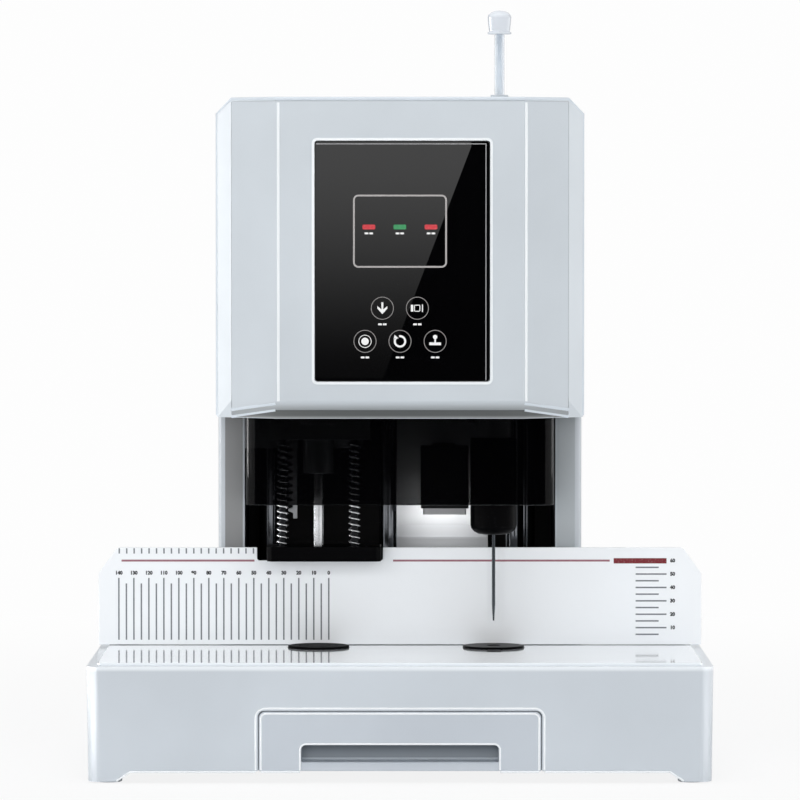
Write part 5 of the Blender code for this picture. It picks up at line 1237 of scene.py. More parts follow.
@dataclass
class PaperRest:
    """The worktable with its drill pad and die, and the fence with its printed scales."""

    print_depth: float = 0.00008
    print_sink: float = 0.00002
    left_start: float = -0.1865
    left_pitch: float = 0.004973
    left_count: int = 29
    line_width: float = 0.00095
    line_bottom: float = 0.0799
    long_top: float = 0.1210
    short_top: float = 0.1173
    figure_height: float = 0.0032
    figure_level: float = 0.1243
    figure_step: int = 10
    tick_levels: Pair = (0.1372, 0.1413)
    tick_inset: float = 0.0003
    tick_ends: Pair = (-0.1862, -0.0972)
    tick_count: int = 19
    red_level: float = 0.1325
    red_line_height: float = 0.0013
    red_spans: tuple[Pair, ...] = ((-0.1847, -0.0965), (-0.0046, 0.1391))
    red_block: tuple[float, float, float, float] = (0.1417, 0.1768, 0.1306, 0.1341)
    right_count: int = 11
    right_top: float = 0.1280
    right_pitch: float = 0.00445
    right_left: float = 0.1563
    right_long: float = 0.0205
    right_short: float = 0.0153
    right_figures_at: float = 0.1808
    pad_grooves: tuple[float, ...] = (0.0075, 0.0125)
    groove_width: float = 0.0006
    groove_depth: float = 0.0004

    def build(self) -> None:
        """Make and dress the table, the fence and what lies on them."""
        eased("worktable", TABLE_SHEET, Ease.SHEET)
        eased("fence", FENCE_PAINT, Ease.BENT)
        eased("lower_die", BLACK_ANODISED, Ease.THIN)
        self._pad()
        self._left_scale()
        self._red_lines()
        self._right_scale()

    def _printed(
        self, name: str, finish: Ink, first: Pair, size: Pair, pitch: Pair = (0.0, 0.0), count: int = 1
    ) -> None:
        """Print a row of equal marks on the fence.

        Args:
            name: the piece's name.
            finish: the ink.
            first: the middle of the first mark, in (x, z).
            size: one mark's width and height.
            pitch: from one mark to the next, in (x, z).
            count: how many marks there are.
        """
        depth = Box("fence").low.y + self.print_sink - self.print_depth / 2
        places = (first[0], depth, first[1]), (pitch[0], 0.0, pitch[1])
        bar_row(name, "fence", finish, *places, count, (size[0], self.print_depth, size[1]))

    def _figures(self, name: str, top: int, count: int, first: Pair, pitch: Pair) -> None:
        """Print a row of falling figures on the fence.

        Args:
            name: the piece's name.
            top: the first figure.
            count: how many figures there are.
            first: the middle of the first figure, in (x, z).
            pitch: from one figure to the next, in (x, z).
        """
        at = Box("fence").low.y + self.print_sink
        figures = [
            words(
                f"{name}_{number}", str(top - self.figure_step * number), self.figure_height,
                (first[0] + number * pitch[0], first[1] + number * pitch[1]), at, self.print_depth,
            )
            for number in range(count)
        ]
        dress(joined(name, figures), FIGURE_INK, "fence")

    def _left_scale(self) -> None:
        """Print the millimetre scale left of the tools, its figures and the ticks along the top."""
        bottom, pitch, longs = self.line_bottom, self.left_pitch, (self.left_count + 1) // 2
        for name, start, top, count in (
            ("scale_long_lines", self.left_start, self.long_top, longs),
            ("scale_short_lines", self.left_start + pitch, self.short_top, self.left_count // 2),
        ):
            size = (self.line_width, top - bottom)
            self._printed(name, SCALE_INK, (start, (bottom + top) / 2), size, (2 * pitch, 0.0), count)
        (low, high), inset, (left, right) = self.tick_levels, self.tick_inset, self.tick_ends
        step = (right - left) / (self.tick_count - 1)
        size = (self.line_width, high - low - 2 * inset)
        first = (left, (low + high) / 2 - inset)
        self._printed("scale_top_ticks", SCALE_INK, first, size, (step, 0.0), self.tick_count)
        first = (self.left_start, self.figure_level)
        top = self.figure_step * (longs - 1)
        self._figures("scale_figures_left", top, longs, first, (2 * pitch, 0.0))

    def _red_lines(self) -> None:
        """Print the red line along the fence and the red block at its end."""
        for number, (left, right) in enumerate(self.red_spans):
            size = (right - left, self.red_line_height)
            self._printed(f"red_line_{number}", RED_INK, ((left + right) / 2, self.red_level), size)
        left, right, low, high = self.red_block
        middle = ((left + right) / 2, (low + high) / 2)
        self._printed("red_block", DEEP_RED_INK, middle, (right - left, high - low))

    def _right_scale(self) -> None:
        """Print the short scale of lying lines at the right with its figures."""
        pitch, shorts = self.right_pitch, (self.right_count + 1) // 2
        for name, top, length, count in (
            ("depth_long_lines", self.right_top - pitch, self.right_long, self.right_count // 2),
            ("depth_short_lines", self.right_top, self.right_short, shorts),
        ):
            first, size = (self.right_left + length / 2, top), (length, self.line_width)
            self._printed(name, SCALE_INK, first, size, (0.0, -2 * pitch), count)
        first = (self.right_figures_at, self.right_top + pitch)
        self._figures("scale_figures_right", self.figure_step * shorts, shorts, first, (0.0, -2 * pitch))

    def _pad(self) -> None:
        """Turn the drill pad with the rings that the bit leaves in it."""
        box = Box("drill_pad")
        radius, bottom, top = box.size.x / 2, box.low.z, box.high.z
        profile, half, floor = [(0.0, top)], self.groove_width / 2, top - self.groove_depth
        for groove in self.pad_grooves:
            near, far = groove - half, groove + half
            profile += [(near, top), (near, floor), (far, floor), (far, top)]
        ease = self.groove_depth
        profile += [(radius - ease, top), (radius, top - ease), (radius, bottom), (0.0, bottom)]
        turned("drill_pad", PAD_NYLON, profile)


@dataclass
class Head:
    """The head's casing, covers, cheeks and lip."""

    rear_inset: float = 0.012
    front: tuple[Pair, ...] = ((0.0800, -0.1150), (0.10925, -0.0950), (0.1195, -0.0830))
    foot: float = 0.230
    tuck: float = 0.004
    tuck_top: float = 0.2413
    band_levels: Pair = (0.2400, 0.2352)
    strip_levels: Pair = (0.2356, 0.2308)
    strip_foot: Pair = (0.2304, 0.2304)
    band_proud: float = 0.00025
    top: float = 0.4375
    cover_top: float = 0.4351
    seam_rises: Pair = (-0.0002, 0.0004)
    seam_sides: Pair = (-0.0002, 0.0005)
    seam_sunk: float = 0.0003
    chamfer_low: Point = (0.1195, -0.083, 0.4275)
    chamfer_high: Point = (0.1095, -0.0947, 0.4375)
    rim_lift: float = 0.0012
    # How far the rim's bead sinks in at its foot, its chamfer's ends and the cover, as shares.
    rim_shares: tuple[Point, ...] = ((0.8, 0.8, 0.0), (0.8, 0.8, 0.4), (0.4, 1.0, 1.0), (0.4, 1.0, 1.0))
    bead_radius: float = 0.0013
    bead_sunk: float = 0.0009
    creases: tuple[Pair, Pair] = ((-0.0786, -0.1150), (0.0812, -0.1142))
    crease_span: Pair = (0.2413, 0.4342)
    cheek_middle: float = 0.1106
    cheek_width: float = 0.0117
    cheek_levels: Pair = (0.080, 0.2290)
    cheek_corner: float = 0.0018

    def build(self) -> None:
        """Make and dress the head's casings."""
        self._foot_bands()
        self._beads()
        self._seam_fill()
        self._cheek_panels()
        eased("head_casing", HEAD_PAINT, Ease.HEAD, spaced=True)
        eased("front_cover", HEAD_PAINT, Ease.COVER)
        eased("rear_cover", HEAD_PAINT, Ease.SHEET)
        eased("column_left", CHEEK_PAINT, Ease.BENT)
        eased("column_right", CHEEK_PAINT, Ease.BENT)
        eased("throat_lip", BLACK_MOULDING, Ease.SHEET)
        box, inset = Box("rear_cover"), 2 * self.rear_inset
        screw_heads(
            "rear_cover_screws", "rear_cover", place_at((0.0, box.high.y, box.middle.z), "X", -90.0),
            (box.size.x - inset, box.size.z - inset), (2, 5),
        )

    def _row(self, levels: Pair, proud: float, ends: tuple[int, int] = (0, 4)) -> list[Point]:
        """Give the front cover's outline at a height for its creases and one for its corners.

        Args:
            levels: the heights at the creases and at the corners.
            proud: how far in front of the casing the row lies.
            ends: the first point taken and the one after the last, counted from the left.

        Returns:
            The row's points, from left to right.
        """
        rise = self.tuck_top - self.foot
        right = [
            (x, y + max(0.0, (self.tuck_top - z) / rise) * self.tuck - proud, z)
            for (x, y), z in zip(self.front, levels)
        ]
        return ([(-x, y, z) for x, y, z in reversed(right)] + right)[ends[0]:ends[1]]

    def _foot_bands(self) -> None:
        """Lay painted shade round the head's foot, a shaded band and a darker strip where the edge turns
        under, with bright lines of painted highlight on them.
        """
        proud, tops = self.band_proud, (self.tuck_top, self.band_levels[1])
        shade = ribbon("head_foot_band", [self._row(levels, proud) for levels in (self.strip_levels, tops)])
        dress(shade, FOOT_SHADE, "front_cover")
        rows = [self._row(levels, proud * 2) for levels in (self.strip_foot, self.strip_levels)]
        dress(ribbon("head_foot_strip", rows), FOOT_SHADE_STRIP, "front_cover")
        lines = [
            self._row(levels, -self.bead_sunk, ends)
            for levels in (self.band_levels, self.strip_levels)
            for ends in ((0, 2), (2, 4))
        ]
        dress(beads("head_foot_lines", lines, self.bead_radius), EDGE_HIGHLIGHT_PAINT, "front_cover")

    def _beads(self) -> None:
        """Run the bright beads, painted highlights, up the creases and round the head's front edge."""
        sunk = self.bead_sunk
        creases = [[(x, y + sunk, z) for z in self.crease_span] for x, y in self.creases]
        dress(beads("crease_beads", creases, self.bead_radius), HIGHLIGHT_BEAD_PAINT, "front_cover")
        foot, top = (*self.front[2], self.foot + self.rim_lift), (*self.front[0], self.top)
        path = zip((foot, self.chamfer_low, self.chamfer_high, top), self.rim_shares)
        inward = [(x - sunk * a, y + sunk * b, z - sunk * c) for (x, y, z), (a, b, c) in path]
        rim = inward + [(-x, y, z) for x, y, z in reversed(inward)]
        dress(beads("head_edge_bead", [rim], self.bead_radius), EDGE_HIGHLIGHT_PAINT, "head_casing")

    def _cheek_panels(self) -> None:
        """Lay a grey panel of painted shade on each cheek, beside the throat, darker on the left than on
        the right.
        """
        low, high = self.cheek_levels
        for name, side, finish in (("left", -1, CHEEK_SHADE_LEFT), ("right", 1, CHEEK_SHADE_RIGHT)):
            middle = (side * self.cheek_middle, (low + high) / 2)
            outline = slab(middle, self.cheek_width, high - low, self.cheek_corner)
            face = Box(f"column_{name}").low.y + SUNK / 2
            dress(flat(f"cheek_panel_{name}", [outline], face, 3 * SUNK), finish, f"column_{name}")

    def _seam_fill(self) -> None:
        """Fill the seam round the front cover with a grey sheet that lies a little inside it: painted shade
        in the seam.
        """
        inside = -self.band_proud
        rows = [self._row((self.cover_top + rise,) * 2, inside) for rise in self.seam_rises]
        parts = [ribbon("seam_shade_fill_top", rows)]
        x, y = self.front[1]
        for side in (-1, 1):
            edges = sorted(side * (x + over) for over in self.seam_sides)
            depth = y - inside + self.seam_sunk
            upright = [[(edge, depth, z) for edge in edges] for z in (self.tuck_top, self.cover_top)]
            parts.append(ribbon(f"seam_shade_fill_{side}", upright))
        dress(joined("cover_seam_fill", parts), SEAM_SHADE_FILL, "front_cover")


@dataclass
class ControlPanel:
    """The black glass panel with its printed keys and lamps."""

    print_depth: float = 0.00006
    print_sink: float = 0.00002
    frame_centre: Pair = (0.0, 0.3512)
    frame_size: Pair = (0.0606, 0.0471)
    frame_corner: float = 0.0034
    frame_line: float = 0.0011
    lamp_level: float = 0.3539
    lamp_places: tuple[float, ...] = (-0.0201, -0.0001, 0.0200)
    lamp_size: Pair = (0.0082, 0.0031)
    lamp_corner: float = 0.0008
    key_radius: float = 0.0074
    key_line: float = 0.0005
    keys: tuple[Pair, ...] = (
        (-0.0114, 0.3015), (0.0112, 0.3015), (-0.0226, 0.2801), (0.0, 0.2801), (0.0227, 0.2801),
    )
    lamp_dash_drop: float = 0.0041
    key_dash_drop: float = 0.0104
    dash_size: Pair = (0.0024, 0.0012)
    dash_gap: float = 0.0006
    dash_corner: float = 0.0003
    # Signs, from the middle of their keys. A bar has its place, width, height and corner.
    arrow_half: tuple[Pair, ...] = (
        (0.0006, 0.0038), (0.0006, -0.0008), (0.0032, 0.0014), (0.0032, -0.0002),
    )
    arrow_tip: float = -0.0038
    sheet_bars: tuple[tuple[float, ...], ...] = (
        (-0.0034, 0.0016, 0.0044, 0.0003), (0.0033, 0.0007, 0.0048, 0.0002),
    )
    sheet_frame: tuple[float, ...] = (-0.0001, 0.0040, 0.0044, 0.0009, 0.0005)
    dot_radii: tuple[float, ...] = (0.0042, 0.0038, 0.0024)
    stamp_knob: Pair = (0.0028, 0.0014)
    stamp_bars: tuple[tuple[float, ...], ...] = (
        (0.0003, 0.0010, 0.0022, 0.0), (-0.0016, 0.0076, 0.0018, 0.0004),
    )
    turn_radii: Pair = (0.0040, 0.0027)
    # Where the turning arrow's ring starts and how far it runs, in degrees.
    turn_angles: Pair = (100.0, -310.0)
    turn_steps: int = 40
    turn_point: tuple[Pair, ...] = ((-0.0041, 0.0014), (-0.0009, 0.0020), (-0.0035, 0.0042))
    bevel: float = 0.0021
    bevel_line: float = 0.0006
    rim_gap: float = 0.0004
    rim_line: float = 0.0017
    rim_corner: float = 0.0035
    rim_proud: float = 0.0005

    def build(self) -> None:
        """Make and dress the glass and all that is printed on it."""
        eased("touch_panel", BLACK_GLASS, Ease.SHEET)
        self._rim()
        self._lamps()
        self._keys()
        self._bevel_line()

    def _print(self, name: str, outlines: Iterable[Outline], finish: Ink) -> None:
        """Print flat shapes on the glass.

        Args:
            name: the piece's name.
            outlines: their outlines.
            finish: the ink.
        """
        at = Box("touch_panel").low.y + self.print_sink
        dress(flat(name, outlines, at, self.print_depth), finish, "touch_panel")

    def _rim(self) -> None:
        """Raise the bright lip round the glass, its brightness a painted highlight."""
        box, grown = Box("touch_panel"), 2 * (self.rim_gap + self.rim_line)
        width, height = box.size.x + grown, box.size.z + grown
        outlines = band(box.middle.xz, width, height, self.rim_corner, self.rim_line)
        at = Box("front_cover").low.y + self.print_sink
        dress(flat("panel_rim", outlines, at, self.rim_proud), HIGHLIGHT_BEAD_PAINT, "front_cover")

    def _dashes(self, centre: Pair, drop: float) -> list[Outline]:
        """Give a pair of short dashes.

        Args:
            centre: the place over the pair.
            drop: how far under it the pair lies.

        Returns:
            Their outlines.
        """
        width, height = self.dash_size
        aside = (width + self.dash_gap) / 2
        middles = [(centre[0] + side * aside, centre[1] - drop) for side in (-1, 1)]
        return [slab(middle, width, height, self.dash_corner) for middle in middles]

    def _lamps(self) -> None:
        """Print the display's frame, its three lamps and the dashes under them."""
        frame_lines = band(self.frame_centre, *self.frame_size, self.frame_corner, self.frame_line)
        self._print("display_frame", frame_lines, PANEL_INK)
        centres = [(across, self.lamp_level) for across in self.lamp_places]
        left, middle, right = (slab(centre, *self.lamp_size, self.lamp_corner) for centre in centres)
        self._print("lamps_red", [left, right], RED_LAMP)
        self._print("lamp_green", [middle], GREEN_LAMP)
        dashes = [dash for centre in centres for dash in self._dashes(centre, self.lamp_dash_drop)]
        self._print("lamp_dashes", dashes, MARK_INK)

    def _keys(self) -> None:
        """Print the key rings, the dashes under them and the signs in them."""
        radii = (self.key_radius, self.key_radius - self.key_line)
        rings = [ring(centre, radius) for centre in self.keys for radius in radii]
        self._print("key_rings", rings, RING_INK)
        dashes = [dash for centre in self.keys for dash in self._dashes(centre, self.key_dash_drop)]
        self._print("key_dashes", dashes, MARK_INK)
        self._print("key_signs", self._signs(), MARK_INK)

    def _signs(self) -> list[Outline]:
        """Give the signs: an arrow down, a sheet in a bracket, a dot in a ring, a turn and a stamp.

        Returns:
            Their outlines.
        """
        (x, z), (sheet_x, sheet_z), dot, turn, (stamp_x, stamp_z) = self.keys
        arrow = [(x - across, z + up) for across, up in self.arrow_half] + [(x, z + self.arrow_tip)]
        arrow += [(x + across, z + up) for across, up in reversed(self.arrow_half)]
        signs = [slab((sheet_x + across, sheet_z), *sizes) for across, *sizes in self.sheet_bars]
        across, *sizes = self.sheet_frame
        signs += band((sheet_x + across, sheet_z), *sizes)
        signs += [ring(dot, radius) for radius in self.dot_radii]
        start, sweep = map(math.radians, self.turn_angles)
        outer, inner = (arc(turn, radius, start, sweep, self.turn_steps) for radius in self.turn_radii)
        point = [(turn[0] + across, turn[1] + up) for across, up in self.turn_point]
        up, radius = self.stamp_knob
        stamp = [ring((stamp_x, stamp_z + up), radius, 24)]
        stamp += [slab((stamp_x, stamp_z + up), *sizes) for up, *sizes in self.stamp_bars]
        return [arrow, *signs, outer + inner[::-1], point, *stamp]

    def _bevel_line(self) -> None:
        """Lay the pale line that stands for the glass's polished edge inside its top and right sides: a
        painted reflection.
        """
        box, wide = Box("touch_panel"), self.bevel_line
        left, bottom = box.low.x + wide, box.low.z + wide
        right, top = box.high.x - self.bevel, box.high.z - self.bevel
        inner = [(left, top), (right - wide, top), (right - wide, bottom)]
        outer = [(right, bottom), (right, top + wide), (left, top + wide)]
        self._print("polished_edge", [inner + outer], BEVEL_REFLECTION_INK)


@dataclass
class Interior:
    """What stands still inside: the frame, columns, guard, cover, lamp, board and power parts."""

    frame_nodes: tuple[str, ...] = (
        "bed_plate", "frame_side_left", "frame_side_right", "frame_rear", "frame_top",
    )
    column_nodes: tuple[str, ...] = (
        "drill_column_front", "drill_column_rear", "rivet_column_front", "rivet_column_rear",
    )
    column_ease: float = 0.0008
    hem_drop: float = 0.0062
    hem_behind: float = 0.0014
    hem_depth: float = 0.0012
    lens_drop: float = 0.0042
    lens_inset: float = 0.0015
    lens_corner: float = 0.002
    housing_depth: float = 0.030
    chip: Point = (0.010, 0.0016, 0.010)
    chip_first: Pair = (0.034, 0.080)
    chip_pitch: float = 0.026
    plug: Point = (0.009, 0.007, 0.006)
    plug_first: Pair = (0.022, 0.016)
    plug_pitch: float = 0.0135
    can: Pair = (0.0045, 0.011)
    can_spread: Pair = (0.090, 0.016)
    can_drop: float = 0.022
    coil_overhang: float = 0.009
    coil_inset: float = 0.009
    wire_pitch: float = 0.001
    wire_share: float = 0.72
    wire_proud: float = 0.0002
    sheet_pitch: float = 0.0016
    sheet_share: float = 0.6
    pin_middle: Point = (-0.0595, 0.16145, 0.118)
    pin_size: Point = (0.0023, 0.0121, 0.0043)
    pin_spread: float = 0.007
    mark_bar: Pair = (0.0009, 0.0042)
    mark_radii: Pair = (0.0022, 0.0014)
    mark_depth: float = 0.00012
    mark_places: tuple[tuple[Point, float], ...] = (
        ((-0.0885, 0.17157, 0.1224), -14.84), ((-0.0885, 0.17017, 0.1125), -1.16),
    )

    def build(self) -> None:
        """Make and dress the fixed parts inside."""
        for node in self.frame_nodes:
            eased(node, BLACK_POWDER, Ease.MILLED)
        for node in self.column_nodes:
            self._column(node)
        eased("guard", SMOKED, Ease.BENT)
        eased("centre_cover", COVER_SHADED_WHITE, Ease.MILLED)
        self._hem()
        self._lamp()
        eased("feed_motor", MOTOR_CAN, Ease.MILLED)
        eased("rivet_motor", MOTOR_CAN, Ease.MILLED)
        self._board()
        self._transformer()
        self._power()

    def _column(self, node: str) -> None:
        """Turn a chromed column with chamfered ends, its chrome darkened as painted shade.

        Args:
            node: the column's node.
        """
        box, ease = Box(node), self.column_ease
        radius, low, high = box.size.x / 2, box.low.z, box.high.z
        upper = [(0.0, high), (radius - ease, high), (radius, high - ease)]
        turned(node, SHADED_CHROME, upper + [(radius, low + ease), (radius - ease, low), (0.0, low)])

    def _hem(self) -> None:
        """Hang the centre cover's hem under the front edge of its foot."""
        box = Box("centre_cover")
        middle = box.low.z + 3 * SUNK - self.hem_drop / 2
        outline = slab((box.middle.x, middle), box.size.x, self.hem_drop)
        hem = flat("cover_hem", [outline], box.low.y + self.hem_behind, self.hem_depth)
        dress(hem, COVER_SHADED_WHITE, "centre_cover")

    def _lamp(self) -> None:
        """Ease the lamp's housing and set its grey lens under it."""
        eased("work_lamp", BLACK_MOULDING, Ease.BENT)
        box, inset = Box("work_lamp"), self.lens_inset
        deep = self.housing_depth - 2 * inset
        centre = (box.middle.x, box.low.y + deep / 2 + inset)
        outline = slab(centre, box.size.x - 2 * inset, deep, self.lens_corner)
        foot, thick = box.low.z - self.lens_drop, self.lens_drop + 2 * SUNK
        dress(flat("lamp_lens", [outline], foot, thick, Facing.TOP), GREY_LENS, "work_lamp")

    def _board(self) -> None:
        """Set chips, connectors and capacitors on the control board."""
        node = "control_board"
        eased(node, BOARD_GREEN, Ease.THIN)
        box = Box(node)
        left, face, foot = box.low.x, box.high.y, box.low.z
        chips = ("board_chips", BLACK_MOULDING, "guide_plastic")
        plugs = ("board_connectors", CONNECTOR_WHITE, "inner_white")
        for (name, finish, slot), size, (across, up), pitch, count in (
            (chips, self.chip, self.chip_first, self.chip_pitch, 3),
            (plugs, self.plug, self.plug_first, self.plug_pitch, 8),
        ):
            first = (left + across, face + size[1] / 2 - SUNK, foot + up)
            bar_row(name, node, finish, first, (pitch, 0.0, 0.0), count, size, slot)
        place = place_at((0.0, face, box.high.z - self.can_drop), "X", -90.0)
        screw_heads(
            "board_capacitors", node, place, self.can_spread, (5, 2), self.can, CAPACITOR_BLUE,
        )

    def _transformer(self) -> None:
        """Stack the core's sheets over the transformer and wind its coil."""
        node = "transformer"
        eased(node, LAMINATIONS, Ease.MILLED)
        box, pitch, sheet = Box(node), self.wire_pitch, self.sheet_pitch
        overhang, inset, proud = self.coil_overhang, self.coil_inset, self.wire_proud
        wide, deep, tall = box.size
        bar_row(
            "transformer_winding", node, COPPER, (*box.middle.xy, box.low.z + inset + pitch / 2),
            (0.0, 0.0, pitch), int((tall - 2 * inset) / pitch),
            (wide - 2 * inset + 2 * proud, deep + 2 * proud, pitch * self.wire_share),
        )
        bar_row(
            "transformer_sheets", node, LAMINATIONS,
            (box.middle.x, box.low.y + overhang + sheet / 2, box.middle.z), (0.0, sheet, 0.0),
            int((deep - 2 * overhang) / sheet), (wide + proud, sheet * self.sheet_share, tall + proud),
            "motor_steel",
        )

    def _power(self) -> None:
        """Finish the inlet with its three pins and the rocker with its two marks."""
        eased("power_inlet", BLACK_MOULDING, Ease.SHEET)
        eased("power_rocker", ROCKER_GLOSS, Ease.MILLED)
        (x, y, z), aside, rise = self.pin_middle, self.pin_spread, self.pin_size[2] / 2
        for name, first, count in (
            ("inlet_pins_outer", (x - aside, y, z - rise), 2), ("inlet_pin_earth", (x, y, z + rise), 1),
        ):
            pitch = (2 * aside, 0.0, 0.0)
            bar_row(name, "power_inlet", BRASS_PIN, first, pitch, count, self.pin_size, "bare_steel")
        middle = (0.0, 0.0)
        marks = {
            "rocker_mark_on": [slab(middle, *self.mark_bar)],
            "rocker_mark_off": [ring(middle, radius) for radius in self.mark_radii],
        }
        for (name, outlines), (place, degrees) in zip(marks.items(), self.mark_places):
            made = flat(name, outlines, 0.0, self.mark_depth, Facing.BACK)
            made.data.transform(place_at(place, "X", degrees))
            dress(made, MARK_INK, "power_rocker")


@dataclass
class DrillUnit:
    """The drill's carriage with its motor, belt, rack, spindle, bit, foot, rods and springs."""

    spring_turns: float = 17.0
    spring_wire: float = 0.0006
    spring_steps: int = 20
    spring_keep: float = 0.354

    def build(self) -> None:
        """Make and dress the drill unit."""
        eased("drill_carriage", ALUMINIUM, Ease.MILLED, spaced=True)
        eased("drill_motor", MOTOR_CAN, Ease.MILLED)
        eased("drive_belt", BELT_RUBBER, Ease.THIN)
        eased("drill_bush", BRONZE, Ease.SHEET)
        eased("motor_pulley", ALUMINIUM, Ease.THIN)
        eased("drill_spindle", ZINC, Ease.SHEET)
        paint_node("drill_bit", BIT_STEEL)
        eased("presser_foot", BLACK_ANODISED, Ease.MILLED)
        eased("presser_rod_left", DARK_ROD, Ease.THIN)
        eased("presser_rod_right", DARK_ROD, Ease.THIN)
        eased("drill_rack", ZINC, Ease.FINE, 1)
        eased("feed_pinion", ZINC, Ease.FINE, 1)
        for node in ("presser_spring_left", "presser_spring_right"):
            self._spring(node)

    def _spring(self, node: str) -> None:
        """Wind a round-wire spring in the place of a packed one.

        Args:
            node: the spring's node.
        """
        box, finish = Box(node), SPRING_WIRE
        made = coil(f"{node}_wound", finish, node, self.spring_wire, self.spring_turns, self.spring_steps)
        dress(made, finish, node, replaces=True)
        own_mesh(made)


@dataclass
class RivetUnit:
    """The rivet tool's carriage, hot head, bush and lead screw."""

    thread_wire: float = 0.0005
    thread_pitch: float = 0.002
    thread_steps: int = 16
    thread_proud: float = 0.0002

    def build(self) -> None:
        """Make and dress the rivet unit."""
        eased("rivet_carriage", ALUMINIUM, Ease.MILLED, spaced=True)
        eased("rivet_head", HEAD_COATING, Ease.BENT)
        eased("rivet_bush", BRONZE, Ease.SHEET)
        node, wire = "rivet_screw", self.thread_wire
        eased(node, ZINC, Ease.THIN)
        turns = (Box(node).size.z - 2 * wire) / self.thread_pitch
        thread = coil("rivet_screw_thread", ZINC, node, wire, turns, self.thread_steps, self.thread_proud)
        dress(thread, ZINC, node)


@dataclass
class TubeFeed:
    """The nylon tube in its guide, its push cap and the guide needle."""

    def build(self) -> None:
        """Make and dress the tube feed."""
        eased("tube_guide", GUIDE_MOULDING, Ease.SHEET)
        eased("tube_stock", NYLON_TUBE, Ease.THIN)
        eased("push_cap", MILKY_CAP, Ease.MILLED)
        eased("guide_needle", NEEDLE_STEEL, Ease.FINE, 1)


def one_face(name: str, corners: Iterable[Point]) -> Piece:
    """Make a piece of one face.

    Args:
        name: the piece's name.
        corners: the face's corners in order.

    Returns:
        The piece.
    """
    bm = bmesh.new()
    bm.faces.new([bm.verts.new(corner) for corner in corners])
    return piece(name, bm)


def standing(start: Pair, end: Pair, low: float, high: float) -> list[Point]:
    """Give the corners of a face that stands over a line on the ground."""
    return [(*start, low), (*end, low), (*end, high), (*start, high)]


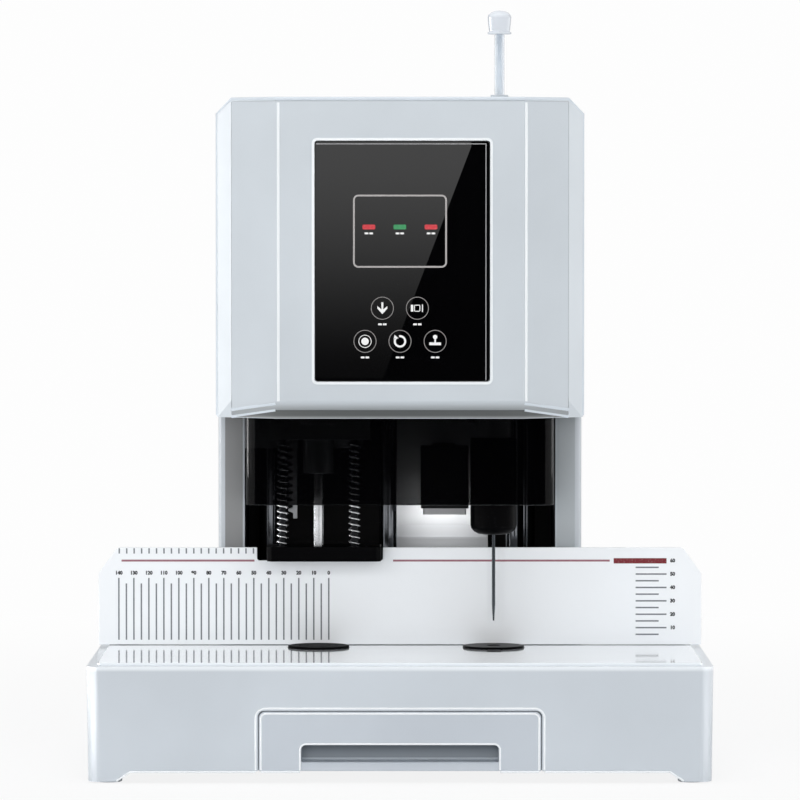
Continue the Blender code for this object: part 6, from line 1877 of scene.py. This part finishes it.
@dataclass
class Studio:
    """The camera, the pale surroundings and the soft light."""

    camera_back: float = 3.5
    camera_height: float = 0.364
    camera_drop: float = 1.96
    focal_pixels: float = 5512.5
    frame_pixels: float = 800.0
    sensor: float = 36.0
    white: float = 0.985
    world_level: float = 0.34
    near_share: float = 0.84
    fade: Pair = (0.35, 1.3)
    floor_half: float = 4.5
    floor_shades: tuple[Colour, Colour] = (tone(246, 247, 248), tone(243, 244, 245))
    middle: Point = (0.0, 0.0, 0.2)
    # Each lamp round the object: where it hangs, its width and height, and its power.
    round_lamps: dict[str, tuple[Point, Pair, float]] = field(
        default_factory=lambda: {
            "lamp_top": ((0.0, -0.6, 2.2), (2.0, 2.0), 28.0),
            "lamp_front": ((-0.2, -3.2, 0.42), (1.8, 0.7), 31.0),
            "lamp_left": ((-2.8, 0.3, 0.6), (1.2, 1.0), 18.0),
            "lamp_right": ((2.8, 0.5, 0.6), (1.2, 1.0), 13.0),
            "lamp_back": ((0.3, 3.2, 0.7), (1.8, 1.0), 28.0),
        }
    )
    lip_lamp: tuple[Point, Point] = ((-0.03, -0.15, 0.16), (-0.03, -0.03, 0.09))
    lip_size: Pair = (0.12, 0.01)
    lip_power: float = 0.03
    inside_ahead: float = 0.018
    inside_levels: Pair = (0.001, -0.008)
    inside_size: Pair = (0.040, 0.006)
    inside_power: float = 0.012
    # Each pair of cards: where it starts and ends at the right, its foot and top, and its two glows.
    side_cards: dict[str, tuple[Pair, Pair, Pair, Pair]] = field(
        default_factory=lambda: {
            "softbox": ((2.4, 0.03), (2.1, 1.5), (0.08, 0.56), (8.6, 3.5)),
            "low_card": ((0.55, -0.17), (0.55, 0.45), (0.0, 0.07), (6.0, 3.0)),
            "corner_card": ((0.30, -0.34), (0.30, -0.165), (0.0, 0.08), (9.6, 4.8)),
            "edge_card": ((2.1, 1.6), (0.25, 1.6), (0.0, 1.2), (0.3, 0.6)),
        }
    )
    dark_half: float = 0.30
    dark_levels: Pair = (0.02, 0.52)
    low_dark_half: float = 0.24
    low_dark_levels: Pair = (0.02, 0.212)
    low_dark_ahead: float = 1.5
    card_behind: float = 0.05
    card_gap: float = 0.01
    window: tuple[Pair, ...] = (
        (-0.28, 0.147), (-0.022, 0.147), (0.0925, 0.448), (0.0925, 0.48), (-0.28, 0.48),
    )
    window_levels: Pair = (0.147, 0.46)
    window_rise: float = 1.4
    window_least: float = 0.06

    def build(self) -> None:
        """Set the camera, the world, the floor, the lamps and the cards that the glass mirrors."""
        self._camera()
        self._world()
        self._floor()
        self._lamps()
        self._cards()

    def _camera(self) -> None:
        """Stand the camera where the photograph was taken from."""
        data = bpy.data.cameras.new("camera")
        data.sensor_width, data.sensor_fit = self.sensor, "HORIZONTAL"
        data.lens = self.sensor * self.focal_pixels / self.frame_pixels
        data.clip_start, data.clip_end = 0.1, 60.0
        camera = linked("camera", data)
        camera.location = (0.0, CAD_BOX[0][1] - self.camera_back, self.camera_height)
        camera.rotation_euler = (math.radians(90.0 - self.camera_drop), 0.0, 0.0)
        bpy.context.scene.camera = camera
        LOG.info("camera")

    @staticmethod
    def _seen(shader: Shader) -> Signal:
        """Give 1 on rays from the camera and on mirrored and passed rays.

        Args:
            shader: the material's or world's shader.

        Returns:
            The mask.
        """
        kinds = ("Camera", "Glossy", "Transmission")
        camera, glossy, passed = (
            shader.node("ShaderNodeLightPath", output=f"Is {kind} Ray") for kind in kinds
        )
        return (camera + glossy + passed).above(0.5)

    def _world(self) -> None:
        """Fill the world with plain light and show it white."""
        shader = Shader("surroundings", world=True)
        level = self._seen(shader) * (self.white - self.world_level) + self.world_level
        light = shader.node("ShaderNodeBackground", None, {"Color": WHITE, "Strength": level})
        bpy.context.scene.world = shader.close(light)
        LOG.info("world")

    def _floor(self) -> None:
        """Lay the pale floor, which shows white but keeps the object's shadow."""
        half = self.floor_half
        floor = one_face("floor", [(*corner, 0.0) for corner in slab((0.0, 0.0), 2 * half, 2 * half)])
        shader = Shader("floor")
        shade = shader.mix(shader.noise(160.0, 3.0).steps(0.3, 0.8), *self.floor_shades)
        lit = shader.node("ShaderNodeBsdfDiffuse", None, {"Color": shade})
        spread = shader.away().steps(*self.fade) * (1.0 - self.near_share) + self.near_share
        inputs = {0: spread * self._seen(shader), 1: lit, 2: shader.glow(self.white)}
        floor.data.materials.append(shader.close(shader.node("ShaderNodeMixShader", None, inputs)))
        LOG.info("floor")

    @staticmethod
    def _lamp(
        name: str, place: Point, aim: Point, size: Pair, power: float, mirrored: bool = False
    ) -> None:
        """Hang a soft rectangular lamp.

        Args:
            name: its name.
            place: where it hangs.
            aim: what it points at.
            size: its width and height.
            power: its power.
            mirrored: whether glossy surfaces mirror it.
        """
        data = bpy.data.lights.new(name, "AREA")
        data.shape, data.energy = "RECTANGLE", power
        data.size, data.size_y = size
        lamp = linked(name, data)
        lamp.location = place
        lamp.rotation_euler = (Vector(aim) - Vector(place)).to_track_quat("-Z", "Y").to_euler()
        lamp.visible_glossy = mirrored
        LOG.info(name)

    def _lamps(self) -> None:
        """Hang the lamps."""
        for name, (place, size, power) in self.round_lamps.items():
            self._lamp(name, place, self.middle, size, power, name == "lamp_top")
        self._lamp("lamp_lip", *self.lip_lamp, self.lip_size, self.lip_power)
        box, cover, (over, under) = Box("work_lamp"), Box("centre_cover").low.y, self.inside_levels
        place = (box.middle.x, cover - self.inside_ahead, box.low.z + over)
        aim = (box.middle.x, cover, box.low.z + under)
        self._lamp("lamp_inside", place, aim, self.inside_size, self.inside_power, True)

    def _cards(self) -> None:
        """Stand the cards round the object that the glass and the paint mirror."""
        back = CAD_BOX[0][1] - self.camera_back - self.card_behind
        for name, half, deep, levels in (
            ("dark_card", self.dark_half, back - self.card_gap, self.dark_levels),
            ("low_dark_card", self.low_dark_half, -self.low_dark_ahead, self.low_dark_levels),
        ):
            self._card(name, standing((-half, deep), (half, deep), *levels))
        for name, (start, end, levels, glows) in self.side_cards.items():
            for hand, side, glow in zip(("left", "right"), (-1.0, 1.0), glows):
                ends = [(side * across, deep) for across, deep in (start, end)]
                self._card(f"{hand}_{name}", standing(*ends, *levels), glow)
        self._card("window_card", [(x, back, z) for x, z in self.window], self.window_levels)

    def _card(self, name: str, corners: Sequence[Point], glow: Pair | float = 0.0) -> None:
        """Stand a card that only mirrored rays see.

        Args:
            name: its name.
            corners: its corners.
            glow: its glow, or the heights between which it rises.
        """
        card, shader, strength = one_face(name, corners), Shader(name), glow
        if isinstance(glow, tuple):
            strength = shader.height().steps(*glow) * self.window_rise + self.window_least
        card.data.materials.append(shader.close(shader.glow(strength)))
        card.visible_camera = card.visible_diffuse = False
        card.visible_shadow = card.visible_transmission = False
        LOG.info(name)


def set_view() -> None:
    """Show colours as they are written."""
    bpy.context.scene.view_settings.view_transform = "Standard"


def main() -> None:
    """Build the studio and every sub-assembly in order."""
    logging.basicConfig(level=logging.INFO, format="%(message)s")
    for assembly in (
        Studio, BaseCase, PaperRest, Head, ControlPanel, Interior, DrillUnit, RivetUnit, TubeFeed,
    ):
        assembly().build()
    set_view()


if __name__ == "__main__":
    main()
